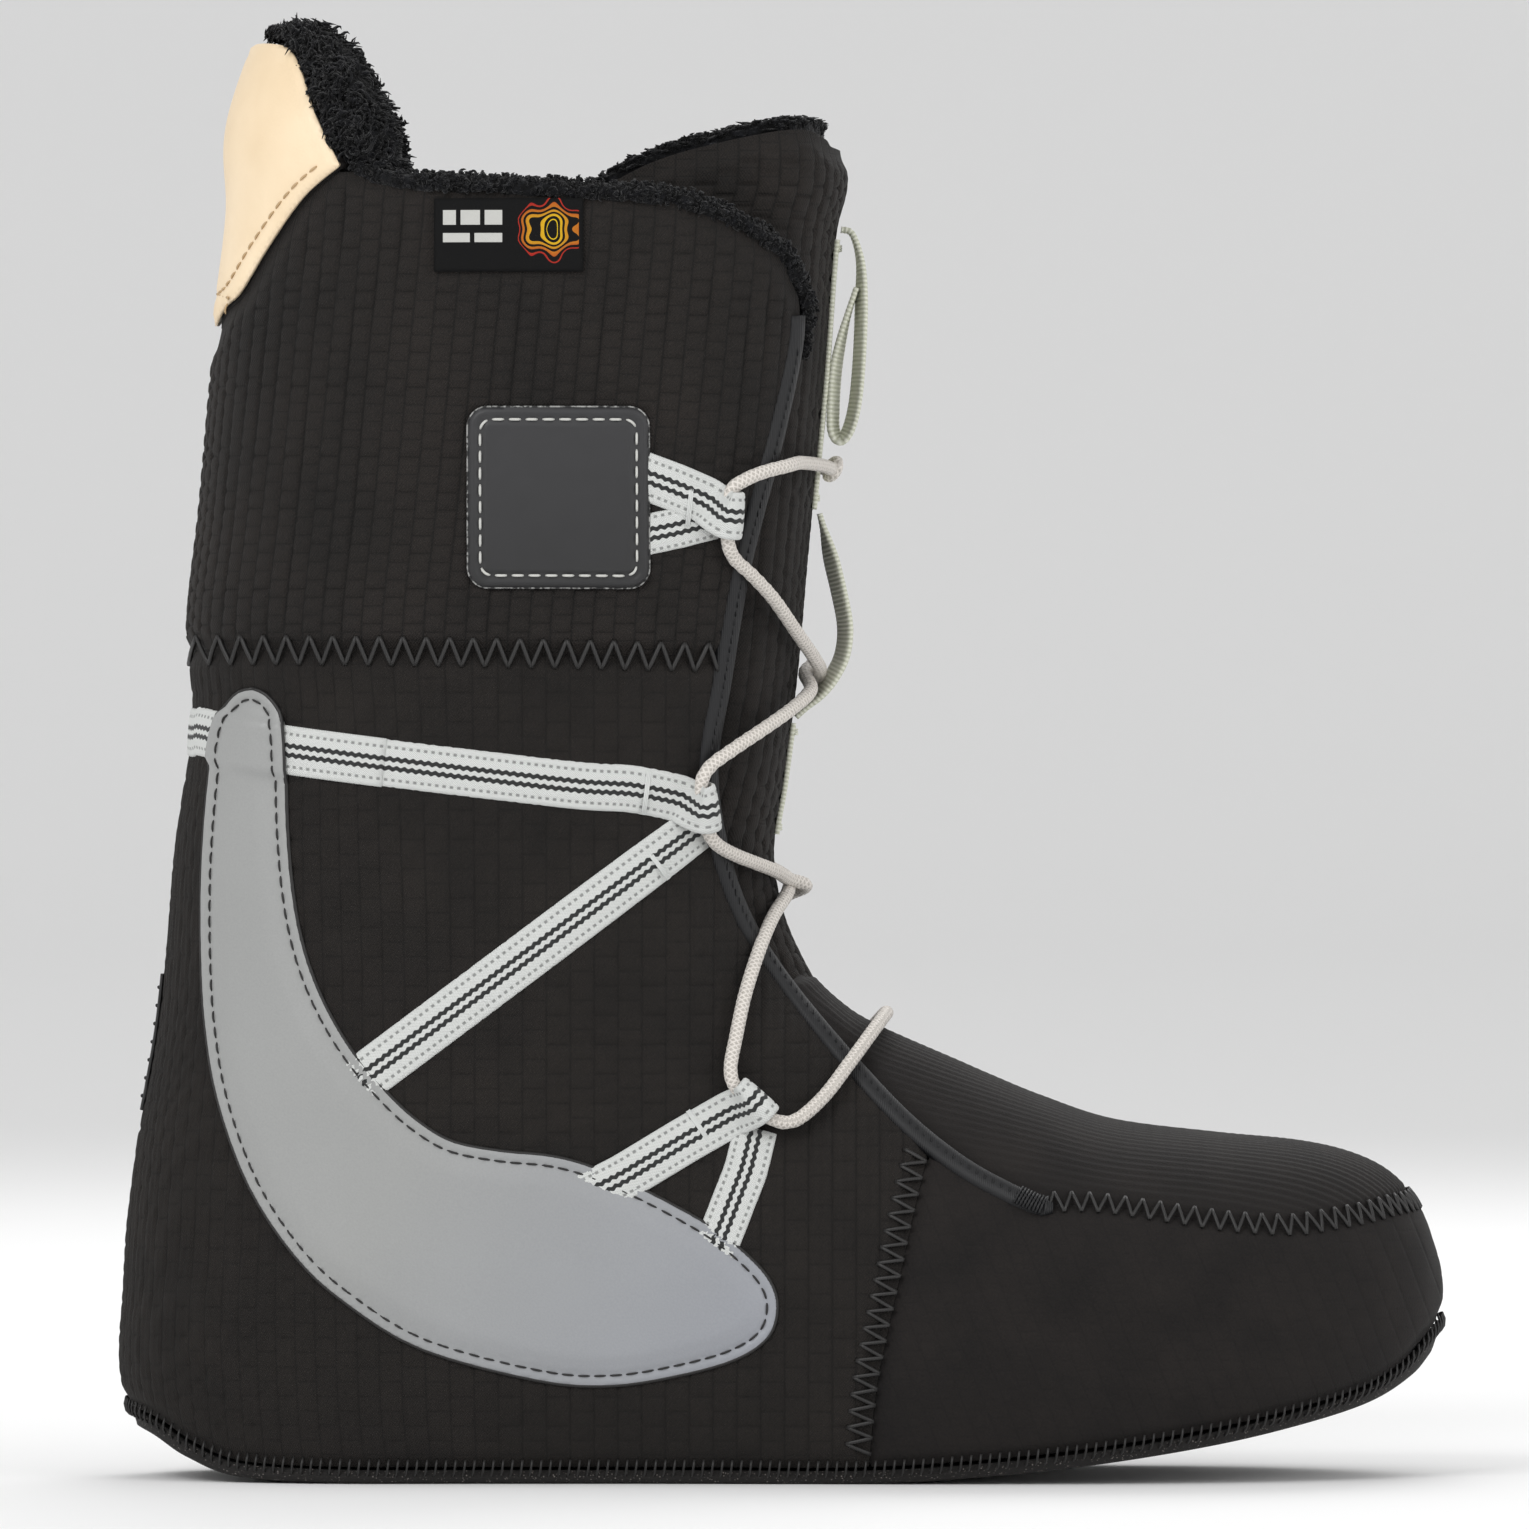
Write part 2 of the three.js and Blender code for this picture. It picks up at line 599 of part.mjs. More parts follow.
const tapeArc = smooth([[7.8, 212.6], [9.6, 205.5], [12, 195.6], [13.4, 187.9], [12.9, 181.9],
  [11, 177.5], [7.8, 172.9], [4.6, 169.6], [2.6, 167.6]], 18);
const pullOuter = smooth([[12.5, 275.4], [15, 274.4], [16.8, 268.2], [17, 259.4], [16.6, 247.7],
  [15.7, 237.6], [14.2, 231.4], [12.3, 229], [10.7, 231], [10.5, 236], [11.1, 244],
  [12.3, 250.6], [13.8, 256.5], [16.4, 262.5]], 34);

// ---- the pieces ----

const black = 0x26221f;
const finishes = {
  waffle: { color: 0x2a2522, roughness: 0.9 },
  ribbed: { color: 0x282320, roughness: 0.9 },
  smooth: { color: 0x2b2725, roughness: 0.85 },
  pile: { color: 0x202225, roughness: 1 },
  board: { color: black, roughness: 0.9 },
  binding: { color: 0x232428, roughness: 0.6 },
  webbing: { color: 0xe4e6e4, roughness: 0.8 },
  patch: { color: 0xa8acaf, roughness: 0.55 },
  rubber: { color: 0x3f4042, roughness: 0.6 },
  leather: { color: 0xf3e0c0, roughness: 0.55 },
  label: { color: 0x141414, roughness: 0.7 },
  lace: { color: 0xe1dcd7, roughness: 0.8 },
  tape: { color: 0xc8cab9, roughness: 0.8 },
  inner: { color: 0x3a3c40, roughness: 0.7 },
};

const boot = new THREE.Group();

function add(name, solid, finish) {
  const geometry = geometryOf(solid);
  const material = new THREE.MeshStandardMaterial({ metalness: 0, ...finishes[finish] });
  const mesh = new THREE.Mesh(geometry, material);
  mesh.name = name;
  boot.add(mesh);
}

function addSole() {
  const board = slab([...soleCurve, ...beside(soleCurve, boardThickness).reverse()]);
  add('sole_board', largest(last(0).intersect(board)), 'board');
  const bed = [boardThickness + 3 * gap, boardThickness + 3 * gap + footbedThickness]
    .map((height) => beside(soleCurve, height));
  const lined = -foam - gap - pile;
  const room = last(lined).intersect(last(lined - footbedClearance));
  add('footbed', largest(room.intersect(slab([...bed[0], ...bed[1].reverse()]))), 'inner');
}

function addShell() {
  const pockets = counterPocket().add(ankleFoamPocket());
  const rear = shellBody.intersect(rearRegion).subtract(slot).subtract(backSeam)
    .subtract(pockets);
  for (const [name, side] of [['outer', outerSide], ['inner', innerSide]]) {
    const half = onSide(rear, side);
    add(`cuff_${name}`, largest(half.intersect(cuffRegion)), 'waffle');
    add(`quarter_${name}`, largest(half.intersect(quarterRegion)), 'ribbed');
  }
  add('toe_box', largest(shellBody.intersect(toeRegion)), 'smooth');
  const vamp = layer(0, -vampThickness).intersect(uppers).subtract(tongueRoom);
  const cut = seams.reduce((body, seam) => body.subtract(seam), vamp)
    .subtract(slab(ribbon(frontEdge, bindingWidth + 2 * seamGap, 0)).subtract(slot));
  add('vamp_top', largest(cut.intersect(vampRegion)), 'smooth');
  add('heel_counter', largest(counter()), 'inner');
  add('ankle_pad_outer', largest(ankleFoam(outerSide)), 'inner');
  add('ankle_pad_inner', largest(ankleFoam(innerSide)), 'inner');
}

function addLining() {
  const fleece = layer(-foam - gap, -foam - gap - pile).intersect(uppers);
  const outline = slab([...tabEdge, ...collarEdge.slice(1), ...frontEdge.slice(1, 18),
    graded([10, 104]), graded([40, 130]), graded([160, 130]),
    [ahead, below], [behind, below], [behind, tabEdge[0][1] - foam]]);
  add('fleece_lining', largest(fleece.intersect(outline).subtract(tongueRoom)
    .subtract(slab(ribbon(collarEdge, gap, -gap)))), 'pile');
}

function addHeelTab() {
  add('heel_tab_foam', largest(shellBody.intersect(tabRegion)
    .subtract(slab(ribbon(tabTop, gap, -gap)))), 'smooth');
  const leather = layer(gap + leatherThickness, gap).intersect(tabRegion)
    .subtract(slab(ribbon(tabTop, gap, -gap)));
  add('heel_pull_patch', largest(leather), 'leather');
  const under = -foam - gap;
  const deep = -foam - 2 * pile;
  const hump = slab([...humpTop, [behind, humpTop.at(-1)[1]], [behind, tabTop.at(-1)[1] + 2 * gap],
    ...beside(tabTop, -2 * gap).reverse()]);
  const tucked = slab([...beside(tabEdge, gap), ...humpTop, [behind, humpTop.at(-1)[1]],
    [behind, tabEdge[0][1]]]);
  const cap = layer(pileProud, under - gap).intersect(hump).add(layer(under, deep).intersect(tucked))
    .subtract(slab(ribbon(collarEdge, trimHeight + gap, -trimHeight)));
  add('heel_fleece', largest(cap), 'pile');
}

function addTrim() {
  const trim = layer(trimProud, -foam - gap - pile).intersect(
    slab(ribbon([...collarEdge.slice(1), ...frontEdge.slice(1, 4)], trimHeight, seamGap)))
    .subtract(tongueRoom);
  const edge = layer(0, -foam).intersect(
    slab(ribbon(frontEdge.slice(4), bindingWidth + seamGap, seamGap))).subtract(slot);
  for (const [name, side] of [['outer', outerSide], ['inner', innerSide]]) {
    add(`collar_fleece_${name}`, largest(onSide(trim, side)), 'pile');
    add(`edge_binding_${name}`, largest(onSide(edge, side)), 'binding');
  }
}

function addTongue() {
  add('tongue', largest(tongueChannel(drawnTongue, 0, foam, tongueTop)), 'waffle');
  const lined = drawnTongue.slice(0, -1);
  add('tongue_fleece', largest(tongueChannel(lined, foam + gap, pile, pileTop)), 'pile');
}

function addWebbing() {
  for (const [name, side, room] of [['outer', -1, outerSide], ['inner', 1, innerSide]]) {
    add(`ankle_patch_${name}`, largest(anklePatch(room)), 'patch');
    add(`cuff_patch_${name}`, largest(squarePatch(room)), 'rubber');
    add(`cuff_loop_${name}`, largest(cuffLoop(side, room)), 'webbing');
    add(`instep_strap_${name}`, largest(instepStrap(room)), 'webbing');
    add(`forefoot_loop_${name}`, largest(forefootLoop(side, room)), 'webbing');
  }
  add('heel_strap', largest(heelStrap()), 'webbing');
  add('woven_label', largest(label()), 'label');
  const stay = layer(gap + backstay.thickness, gap).intersect(
    slab([[behind, graded([0, backstay.low])[1]], graded([-100, backstay.low]),
      graded([-100, backstay.high]), [behind, graded([0, backstay.high])[1]]],
    -backstay.width / 2, backstay.width / 2));
  add('heel_backstay', largest(stay), 'rubber');
}

function addCords() {
  add('lace', laceSolid(), 'lace');
  add('lace_knot', knotSolid(), 'lace');
  add('tape_strip_upper', tape(sewnLine(213, 273)), 'tape');
  add('tape_strip_lower', tape(sewnLine(142, 167)), 'tape');
  add('pull_tape', tape(tapeArc), 'tape');
  add('pull_loop', largest(tape(pullOuter.slice(0, 20)).add(tape(pullOuter.slice(19)))), 'tape');
}

addSole();
addShell();
addLining();
addHeelTab();
addTrim();
addTongue();
addWebbing();
addCords();

export default boot;
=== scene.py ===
import math
import random
import bpy
import numpy as np
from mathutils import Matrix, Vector
from mathutils.bvhtree import BVHTree


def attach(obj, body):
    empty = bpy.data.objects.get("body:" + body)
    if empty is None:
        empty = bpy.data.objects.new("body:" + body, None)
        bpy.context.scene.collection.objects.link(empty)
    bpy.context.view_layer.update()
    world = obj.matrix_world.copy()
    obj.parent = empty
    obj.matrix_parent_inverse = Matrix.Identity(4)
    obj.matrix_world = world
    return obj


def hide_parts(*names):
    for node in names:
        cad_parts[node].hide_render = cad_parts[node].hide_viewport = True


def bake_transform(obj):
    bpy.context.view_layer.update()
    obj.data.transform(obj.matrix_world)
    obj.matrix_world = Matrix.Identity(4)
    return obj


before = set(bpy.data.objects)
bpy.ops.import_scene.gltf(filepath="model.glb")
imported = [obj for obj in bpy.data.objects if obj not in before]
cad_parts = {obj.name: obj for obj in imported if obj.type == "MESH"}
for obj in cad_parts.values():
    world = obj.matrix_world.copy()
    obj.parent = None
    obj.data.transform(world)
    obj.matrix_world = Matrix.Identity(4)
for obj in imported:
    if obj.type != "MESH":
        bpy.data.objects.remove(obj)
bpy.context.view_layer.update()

bpy.ops.object.select_all(action="DESELECT")


# ---- Studio: a pale floor, a light sky and three soft lamps round the liner. ----
# The camera looks square on at the outer side from far off, so that nothing foreshortens.

scene = bpy.context.scene
scene.view_settings.view_transform = "Standard"

FRAME_WIDTH = 0.3364
CAMERA_FAR = 3.2
AIM = (-0.0044, -0.015, 0.1572)
SENSOR = 0.036

camera_data = bpy.data.cameras.new("camera")
camera_data.sensor_width = SENSOR * 1000
camera_data.lens = SENSOR * 1000 * CAMERA_FAR / FRAME_WIDTH
camera_data.clip_end = 50
camera = bpy.data.objects.new("camera", camera_data)
camera.location = (AIM[0], AIM[1] - CAMERA_FAR, AIM[2])
camera.rotation_euler = (math.pi / 2, 0, 0)
scene.collection.objects.link(camera)
scene.camera = camera

sky = bpy.data.worlds.new("sky")
sky.use_nodes = True
sky.node_tree.nodes["Background"].inputs["Color"].default_value = (1, 1, 1, 1)
sky.node_tree.nodes["Background"].inputs["Strength"].default_value = 0.8
scene.world = sky

profile = [(-40, 0), (9, 0)]
profile += [(9 + 4 * math.sin(k * math.pi / 24), 4 - 4 * math.cos(k * math.pi / 24))
            for k in range(1, 13)]
profile += [(13, 12)]
sweep = bpy.data.meshes.new("floor")
sweep.from_pydata([(x, y, z) for y, z in profile for x in (-40, 40)], [],
                  [(2 * k, 2 * k + 1, 2 * k + 3, 2 * k + 2) for k in range(len(profile) - 1)])
sweep.shade_smooth()
floor = bpy.data.objects.new("floor", sweep)
scene.collection.objects.link(floor)
paint = bpy.data.materials.new("floor_paint")
paint.use_nodes = True
paint.node_tree.nodes["Principled BSDF"].inputs["Base Color"].default_value = (0.86, 0.86, 0.86, 1)
paint.node_tree.nodes["Principled BSDF"].inputs["Roughness"].default_value = 0.9
floor.data.materials.append(paint)


def lamp(name, place, size, power):
    data = bpy.data.lights.new(name, "AREA")
    data.size = size
    data.energy = power
    holder = bpy.data.objects.new(name, data)
    holder.location = place
    holder.rotation_euler = (Vector((0, 0, 0.15)) - Vector(place)).to_track_quat("-Z", "Y").to_euler()
    scene.collection.objects.link(holder)


lamp("key", (-1.1, -1.7, 1.5), 1.0, 20)
lamp("fill", (1.6, -1.5, 0.8), 1.4, 9)
lamp("back", (0.3, 1.5, 1.6), 1.2, 14)


# ---- The last: the closed shape that every panel of the liner lies on. ----
# Rings fan from level at the collar to upright at the toes. Worked in millimetres, as patterns are.

MM = 0.001
# Each ring: rear point, front point, half width, lean to the inner side, squareness rear and front.
RINGS = np.array([
    [-109, 334, 14, 334, 48, 0, 2.2, 3.3],
    [-121.5, 300, 12.5, 300, 50.5, 0, 2.2, 3.3],
    [-122, 278, 11, 276, 51, 0, 2.2, 3.3],
    [-125.6, 249, 9, 246, 51, 0, 2.2, 3.3],
    [-128.8, 214, 5.4, 212, 50, 0, 2.2, 3.3],
    [-131.6, 188, 2.8, 188, 48, 0, 2.2, 2.9],
    [-130.4, 166, 0.6, 163, 45.5, 0, 2.2, 2.8],
    [-134.2, 140, -2.8, 137, 43.5, 0, 2.2, 2.6],
    [-137.8, 101, 0.8, 119, 42, 0, 2.2, 2.4],
    [-143.2, 70, 7, 110, 42, 0, 2.3, 2.3],
    [-145.6, 44, 14, 103.6, 42.5, 0, 2.4, 2.3],
    [-144.8, 16, 20, 100, 43, 0, 2.6, 2.2],
    [-126, -16, 26, 97.2, 43.5, 0, 2.8, 2.2],
    [-85, -18, 31.5, 94.8, 44, 1, 2.8, 2.2],
    [-45, -18, 38, 92, 45, 2, 2.8, 2.2],
    [-5, -17, 46, 88.5, 48, 3, 2.8, 2.2],
    [32, -14, 57, 84, 51, 4, 2.8, 2.2],
    [66, -10, 73, 78.8, 53, 5, 2.8, 2.2],
    [94, -5, 96, 75.8, 50.5, 6, 2.8, 2.3],
    [113, 1, 114, 74, 45, 7, 2.7, 2.3],
    [126, 7.5, 126, 71.2, 37.5, 8, 2.6, 2.3],
    [135, 14.5, 134.5, 66.8, 29, 8.5, 2.4, 2.2],
    [141, 22, 140.6, 59.6, 20, 9, 2.2, 2.1],
    [144.4, 29.5, 144.3, 50, 11, 9.5, 2, 2],
    [145.6, 35.4, 145.6, 45, 5.4, 9.8, 2, 2],
    [146.05, 40.09, 146.05, 40.11, 0.01, 10, 2, 2],
])


def eased(rows, place):
    """Rows of values, read at fractional places by a smooth curve through them."""
    last = len(rows) - 1
    low = np.clip(np.floor(place).astype(int), 0, last - 1)
    f = (place - low)[:, None]
    a, b, c, d = (rows[np.clip(low + step, 0, last)] for step in (-1, 0, 1, 2))
    return 0.5 * (2 * b + (c - a) * f + (2 * a - 5 * b + 4 * c - d) * f**2
                  + (3 * b - a - 3 * c + d) * f**3)


def on_last(level, angle, out=0.0):
    """The point at an angle round a ring, moved out of the surface by some millimetres."""
    ring = eased(RINGS, level)
    axis = ring[:, 2:4] - ring[:, 0:2]
    size = np.linalg.norm(axis, axis=1)
    axis = axis / size[:, None]
    c, s = np.cos(angle), np.sin(angle)
    power = np.where(c > 0, ring[:, 7], ring[:, 6])
    radius = (np.abs(c)**power + np.abs(s)**power) ** (-1 / power)
    along = c * radius * (size / 2 + out)
    across = s * radius * (ring[:, 4] + out)
    middle = (ring[:, 0:2] + ring[:, 2:4]) / 2
    return np.column_stack([middle[:, 0] + axis[:, 0] * along, ring[:, 5] + across,
                            middle[:, 1] + axis[:, 1] * along])


class Sheet:
    """A grid of points with their outward directions and lengths along and across, in mm."""

    def __init__(self, points, centre):
        self.points = points
        rows = np.gradient(points, axis=0)
        columns = np.gradient(points, axis=1)
        facing = np.cross(rows, columns)
        facing /= np.maximum(np.linalg.norm(facing, axis=2), 1e-9)[..., None]
        if np.sum(facing * (points - centre)) < 0:
            facing = -facing
        self.facing = facing
        middle = points.shape[1] // 2
        run = np.linalg.norm(np.diff(points, axis=1), axis=2)
        self.across = np.concatenate([np.zeros((len(points), 1)), np.cumsum(run, axis=1)], axis=1)
        self.across -= self.across[:, middle:middle + 1]
        climb = np.linalg.norm(np.diff(points[:, middle], axis=0), axis=1)
        self.along = np.concatenate([[0], np.cumsum(climb)])[:, None] + np.zeros(points.shape[:2])


def last_sheet(levels, angles, step, out=0.0):
    """A fine grid on the last between two levels and two angles."""
    probe = np.linspace(*levels, 60)
    sides = np.linspace(*angles, 9)
    rail = [on_last(probe, np.full(60, side), out) for side in sides]
    climb = max(np.linalg.norm(np.diff(line, axis=0), axis=1).sum() for line in rail)
    turn = np.linspace(*angles, 60)
    hoop = [on_last(np.full(60, level), turn, out) for level in np.linspace(*levels, 9)]
    round_it = max(np.linalg.norm(np.diff(line, axis=0), axis=1).sum() for line in hoop)
    rows, columns = int(climb / step) + 2, int(round_it / step) + 2
    level, angle = np.meshgrid(np.linspace(*levels, rows), np.linspace(*angles, columns),
                               indexing="ij")
    points = on_last(level.ravel(), angle.ravel(), out).reshape(rows, columns, 3)
    ring = eased(RINGS, level.ravel())
    middle = (ring[:, 0:2] + ring[:, 2:4]) / 2
    centre = np.column_stack([middle[:, 0], ring[:, 5], middle[:, 1]]).reshape(rows, columns, 3)
    return Sheet(points, centre)


def spline(points, steps=8):
    """A smooth side-view curve through points."""
    rows = np.array(points, float)
    return eased(rows, np.linspace(0, len(rows) - 1, (len(rows) - 1) * steps + 1))


def depth_in(x, z, outline):
    """How far inside a closed side-view outline each place is; negative outside."""
    nearest = np.full(x.shape, 1e9)
    inside = np.zeros(x.shape, bool)
    for (ax, az), (bx, bz) in zip(outline, np.roll(outline, -1, axis=0)):
        dx, dz = bx - ax, bz - az
        size = dx * dx + dz * dz
        if size < 1e-12:
            continue
        share = np.clip(((x - ax) * dx + (z - az) * dz) / size, 0, 1)
        nearest = np.minimum(nearest, np.hypot(x - ax - share * dx, z - az - share * dz))
        if az != bz:
            inside ^= ((az > z) != (bz > z)) & (x < ax + dx * (z - az) / dz)
    return np.where(inside, nearest, -nearest)


def step_up(value, low, high):
    share = np.clip((value - low) / (high - low), 0, 1)
    return share * share * (3 - 2 * share)


class Cut:
    """The part of a sheet where a field is above zero, with a clean edge along zero."""

    def __init__(self, sheet, field):
        count = field.size
        ids = np.arange(count).reshape(field.shape)
        quads = np.stack([ids[:-1, :-1], ids[:-1, 1:], ids[1:, 1:], ids[1:, :-1]], -1)
        quads = quads.reshape(-1, 4)
        value = field.ravel()
        kept = value[quads] > 0
        mixed = quads[kept.any(1) & ~kept.all(1)]
        edges = {}
        faces = [tuple(quad) for quad in quads[kept.all(1)].tolist()]
        for quad in mixed.tolist():
            ring = []
            for a, b in zip(quad, quad[1:] + quad[:1]):
                if value[a] > 0:
                    ring.append(a)
                if (value[a] > 0) != (value[b] > 0):
                    key = (min(a, b), max(a, b))
                    ring.append(edges.setdefault(key, count + len(edges)))
            faces += [(ring[0], ring[k], ring[k + 1]) for k in range(1, len(ring) - 1)]
        ends = np.array(list(edges), int).reshape(-1, 2)
        low, high = value[ends[:, 0]], value[ends[:, 1]]
        share = (low / (low - high))[:, None]

        def carried(rows):
            rows = rows.reshape(count, -1)
            return np.concatenate([rows, rows[ends[:, 0]] * (1 - share) + rows[ends[:, 1]] * share])

        used = np.unique(np.concatenate([np.array(face) for face in faces]))
        renumber = np.full(count + len(ends), -1)
        renumber[used] = np.arange(len(used))
        self.faces = [tuple(renumber[list(face)].tolist()) for face in faces]
        self.points = carried(sheet.points)[used]
        facing = carried(sheet.facing)[used]
        self.facing = facing / np.linalg.norm(facing, axis=1)[:, None]
        self.across = carried(sheet.across)[used, 0]
        self.along = carried(sheet.along)[used, 0]
        self.depth = np.maximum(carried(field)[used, 0], 0)
        a, b, c = (self.points[[face[k] for face in self.faces]] for k in range(3))
        turn = np.einsum("ij,ij->i", np.cross(b - a, c - a),
                         self.facing[[face[0] for face in self.faces]])
        if turn.sum() < 0:
            self.faces = [face[::-1] for face in self.faces]

    def turn_in(self):
        """Makes the cut face the inside of the liner, as a lining does."""
        self.facing = -self.facing
        self.faces = [face[::-1] for face in self.faces]


def mesh_piece(name, points, faces, material, weave=None):
    """A smooth-shaded object from points in millimetres, with its weave coordinates in mm."""
    mesh = bpy.data.meshes.new(name)
    mesh.from_pydata((np.asarray(points) * MM).tolist(), [], faces)
    mesh.shade_smooth()
    if weave is not None:
        layer = mesh.uv_layers.new(name="weave")
        corner = np.empty(len(mesh.loops), int)
        mesh.loops.foreach_get("vertex_index", corner)
        layer.data.foreach_set("uv", np.asarray(weave, float)[corner].ravel())
    mesh.materials.append(material)
    piece = bpy.data.objects.new(name, mesh)
    scene.collection.objects.link(piece)
    return piece


def stands_for(piece, *nodes, body="root", fill=None):
    """Fixes a finished piece to its body in place of the plain solids named."""
    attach(piece, body)
    if nodes:
        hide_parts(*nodes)


def walled(outer, inner, faces):
    """The points and faces of a closed panel: outer face, inner face, and the rim between them."""
    count = len(outer)
    seen = {(face[k - 1], face[k]) for face in faces for k in range(len(face))}
    rim = [(b, a, a + count, b + count) for a, b in seen if (b, a) not in seen]
    back = [tuple(k + count for k in face[::-1]) for face in faces]
    return np.concatenate([outer, inner]), faces + back + rim


def shell(name, cut, lift, thickness, material):
    """A closed panel: the outer face is lifted off the last and the plain inner face lies in it."""
    outer = cut.points + cut.facing * np.asarray(lift).reshape(-1, 1)
    points, faces = walled(outer, cut.points - cut.facing * thickness, cut.faces)
    weave = np.column_stack([cut.across, cut.along])
    return mesh_piece(name, points, faces, material, np.concatenate([weave, weave]))



class Value:
    """A shader value: arithmetic on it adds Math nodes, and make() adds any other node."""

    def __init__(self, tree, socket):
        self.tree = tree
        self.socket = socket

    def make(self, kind, inputs=None, out=0, stops=None, **settings):
        node = self.tree.nodes.new(kind)
        for name, setting in settings.items():
            setattr(node, name, setting)
        if stops:
            ramp = node.color_ramp
            while len(ramp.elements) < len(stops):
                ramp.elements.new(0.5)
            for element, (place, colour) in zip(ramp.elements, stops):
                element.position = place
                element.color = (*colour, 1)
        for name, given in (inputs or {}).items():
            if isinstance(given, Value):
                self.tree.links.new(given.socket, node.inputs[name])
            else:
                node.inputs[name].default_value = given
        return Value(self.tree, node.outputs[out])

    def maths(self, operation, other=0.0, swap=False):
        pair = {0: other, 1: self} if swap else {0: self, 1: other}
        return self.make("ShaderNodeMath", pair, operation=operation)

    def __add__(self, other):
        return self.maths("ADD", other)

    __radd__ = __add__

    def __sub__(self, other):
        return self.maths("SUBTRACT", other)

    def __rsub__(self, other):
        return self.maths("SUBTRACT", other, swap=True)

    def __mul__(self, other):
        return self.maths("MULTIPLY", other)

    __rmul__ = __mul__

    def __truediv__(self, other):
        return self.maths("DIVIDE", other)

    def sin(self):
        return self.maths("SINE")

    def absolute(self):
        return self.maths("ABSOLUTE")

    def fraction(self):
        return self.maths("FRACT")

    def above(self, edge):
        return self.maths("GREATER_THAN", edge)

    def between(self, low, high):
        return self.make("ShaderNodeMapRange", {"Value": self, "From Min": low, "From Max": high})

    def mix(self, dark, light):
        return self.make("ShaderNodeMix", {"Factor": self, "A": dark, "B": light}, out="Result",
                         data_type="RGBA")


def srgb(*values):
    """An 8-bit screen colour as linear light."""
    return tuple(((v / 255 + 0.055) / 1.055) ** 2.4 if v > 10 else v / 3294.6 for v in values)


def finish(name, roughness, sheen=0.0, coat=0.0, shine=0.5):
    """A new material: the material, its shader, and a value to build its nodes from."""
    material = bpy.data.materials.new(name)
    material.use_nodes = True
    shader = material.node_tree.nodes["Principled BSDF"]
    shader.inputs["Roughness"].default_value = roughness
    shader.inputs["Sheen Weight"].default_value = sheen
    shader.inputs["Sheen Roughness"].default_value = 0.5
    shader.inputs["Coat Weight"].default_value = coat
    shader.inputs["Specular IOR Level"].default_value = shine
    start = Value(material.node_tree, material.node_tree.nodes.new("ShaderNodeTexCoord").outputs[3])
    return material, shader, start


def feed(shader, socket, value):
    value.tree.links.new(value.socket, shader.inputs[socket])


def bumped(shader, height, strength, distance=0.0004):
    bump = height.make("ShaderNodeBump", {"Height": height, "Strength": strength,
                                          "Distance": distance}, out="Normal")
    feed(shader, "Normal", bump)


def weave_lines(start):
    """The weave map's two lengths in millimetres: across the cloth and along it."""
    spot = start.make("ShaderNodeUVMap", uv_map="weave", out="UV")
    across = start.make("ShaderNodeSeparateXYZ", {"Vector": spot}, out="X")
    along = start.make("ShaderNodeSeparateXYZ", {"Vector": spot}, out="Y")
    return across, along


def lattice(across, along, columns, tall, wide=0.16):
    """1 in the grooves between staggered blocks, the same ones that the relief has. The knits darken
    their colour with it as painted shade in the grooves, and sink their bump there.
    """
    column = (across / columns).maths("FLOOR")
    groove = ((across / columns - column) - 0.5).absolute() * 2.0
    odd = (column / 2.0).fraction().above(0.25) * 0.5
    course = (along / tall + odd).fraction()
    ledge = (course - 0.5).absolute() * 2.0
    lines = groove.between(1.0 - wide, 1.0)
    return lines.maths("MAXIMUM", ledge.between(1.0 - wide, 1.0) * 0.7)


def grain(start, scale, detail=3.0):
    """Soft noise in the object's own space, 0 to 1; scale is in features a metre."""
    return start.make("ShaderNodeTexNoise", {"Vector": start, "Scale": scale, "Detail": detail},
                      out="Fac")


# The side of the last as a target: where a side-view place lies on it, and which way it faces.
def target_of(sheet):
    rows, columns = sheet.points.shape[:2]
    ids = np.arange(rows * columns).reshape(rows, columns)
    quads = np.stack([ids[:-1, :-1], ids[:-1, 1:], ids[1:, 1:], ids[1:, :-1]], -1).reshape(-1, 4)
    return BVHTree.FromPolygons(sheet.points.reshape(-1, 3).tolist(), quads.tolist())


body_target = target_of(last_sheet((0, len(RINGS) - 1), (-math.pi, math.pi), 2.0))


def side_place(x, z, side):
    """The point of the last at a side-view place on one side, and its outward direction."""
    hit, face, _, _ = body_target.ray_cast(Vector((x, side * 200, z)), Vector((0, -side, 0)))
    if hit is None:
        hit, face, _, _ = body_target.find_nearest(Vector((x, side * 20, z)))
    return np.array(hit), outward(np.array(hit), np.array(face))


def outward(point, face):
    """The direction turned to face away from the inside of the leg or foot."""
    level = min(max(point[2], 40), 300)
    heart = np.array([-60.0 if point[0] < 0 or point[2] > 110 else min(point[0], 110), 3, level])
    if point[0] > 0 and point[2] < 110:
        heart[2] = 36
    return face if np.dot(face, point - heart) > 0 else -face


def hugged(point):
    """The nearest point of the last and its outward direction."""
    hit, face, _, _ = body_target.find_nearest(Vector(point))
    return np.array(hit), outward(np.array(hit), np.array(face))


SIDES = (("outer", -1), ("inner", 1))


# ---- Sole board: a stiff felted fibre insole board, die cut, that the uppers are sewn to. ----
# Its dark speckled edge shows under the uppers all the way round, and it turns up at the toes.

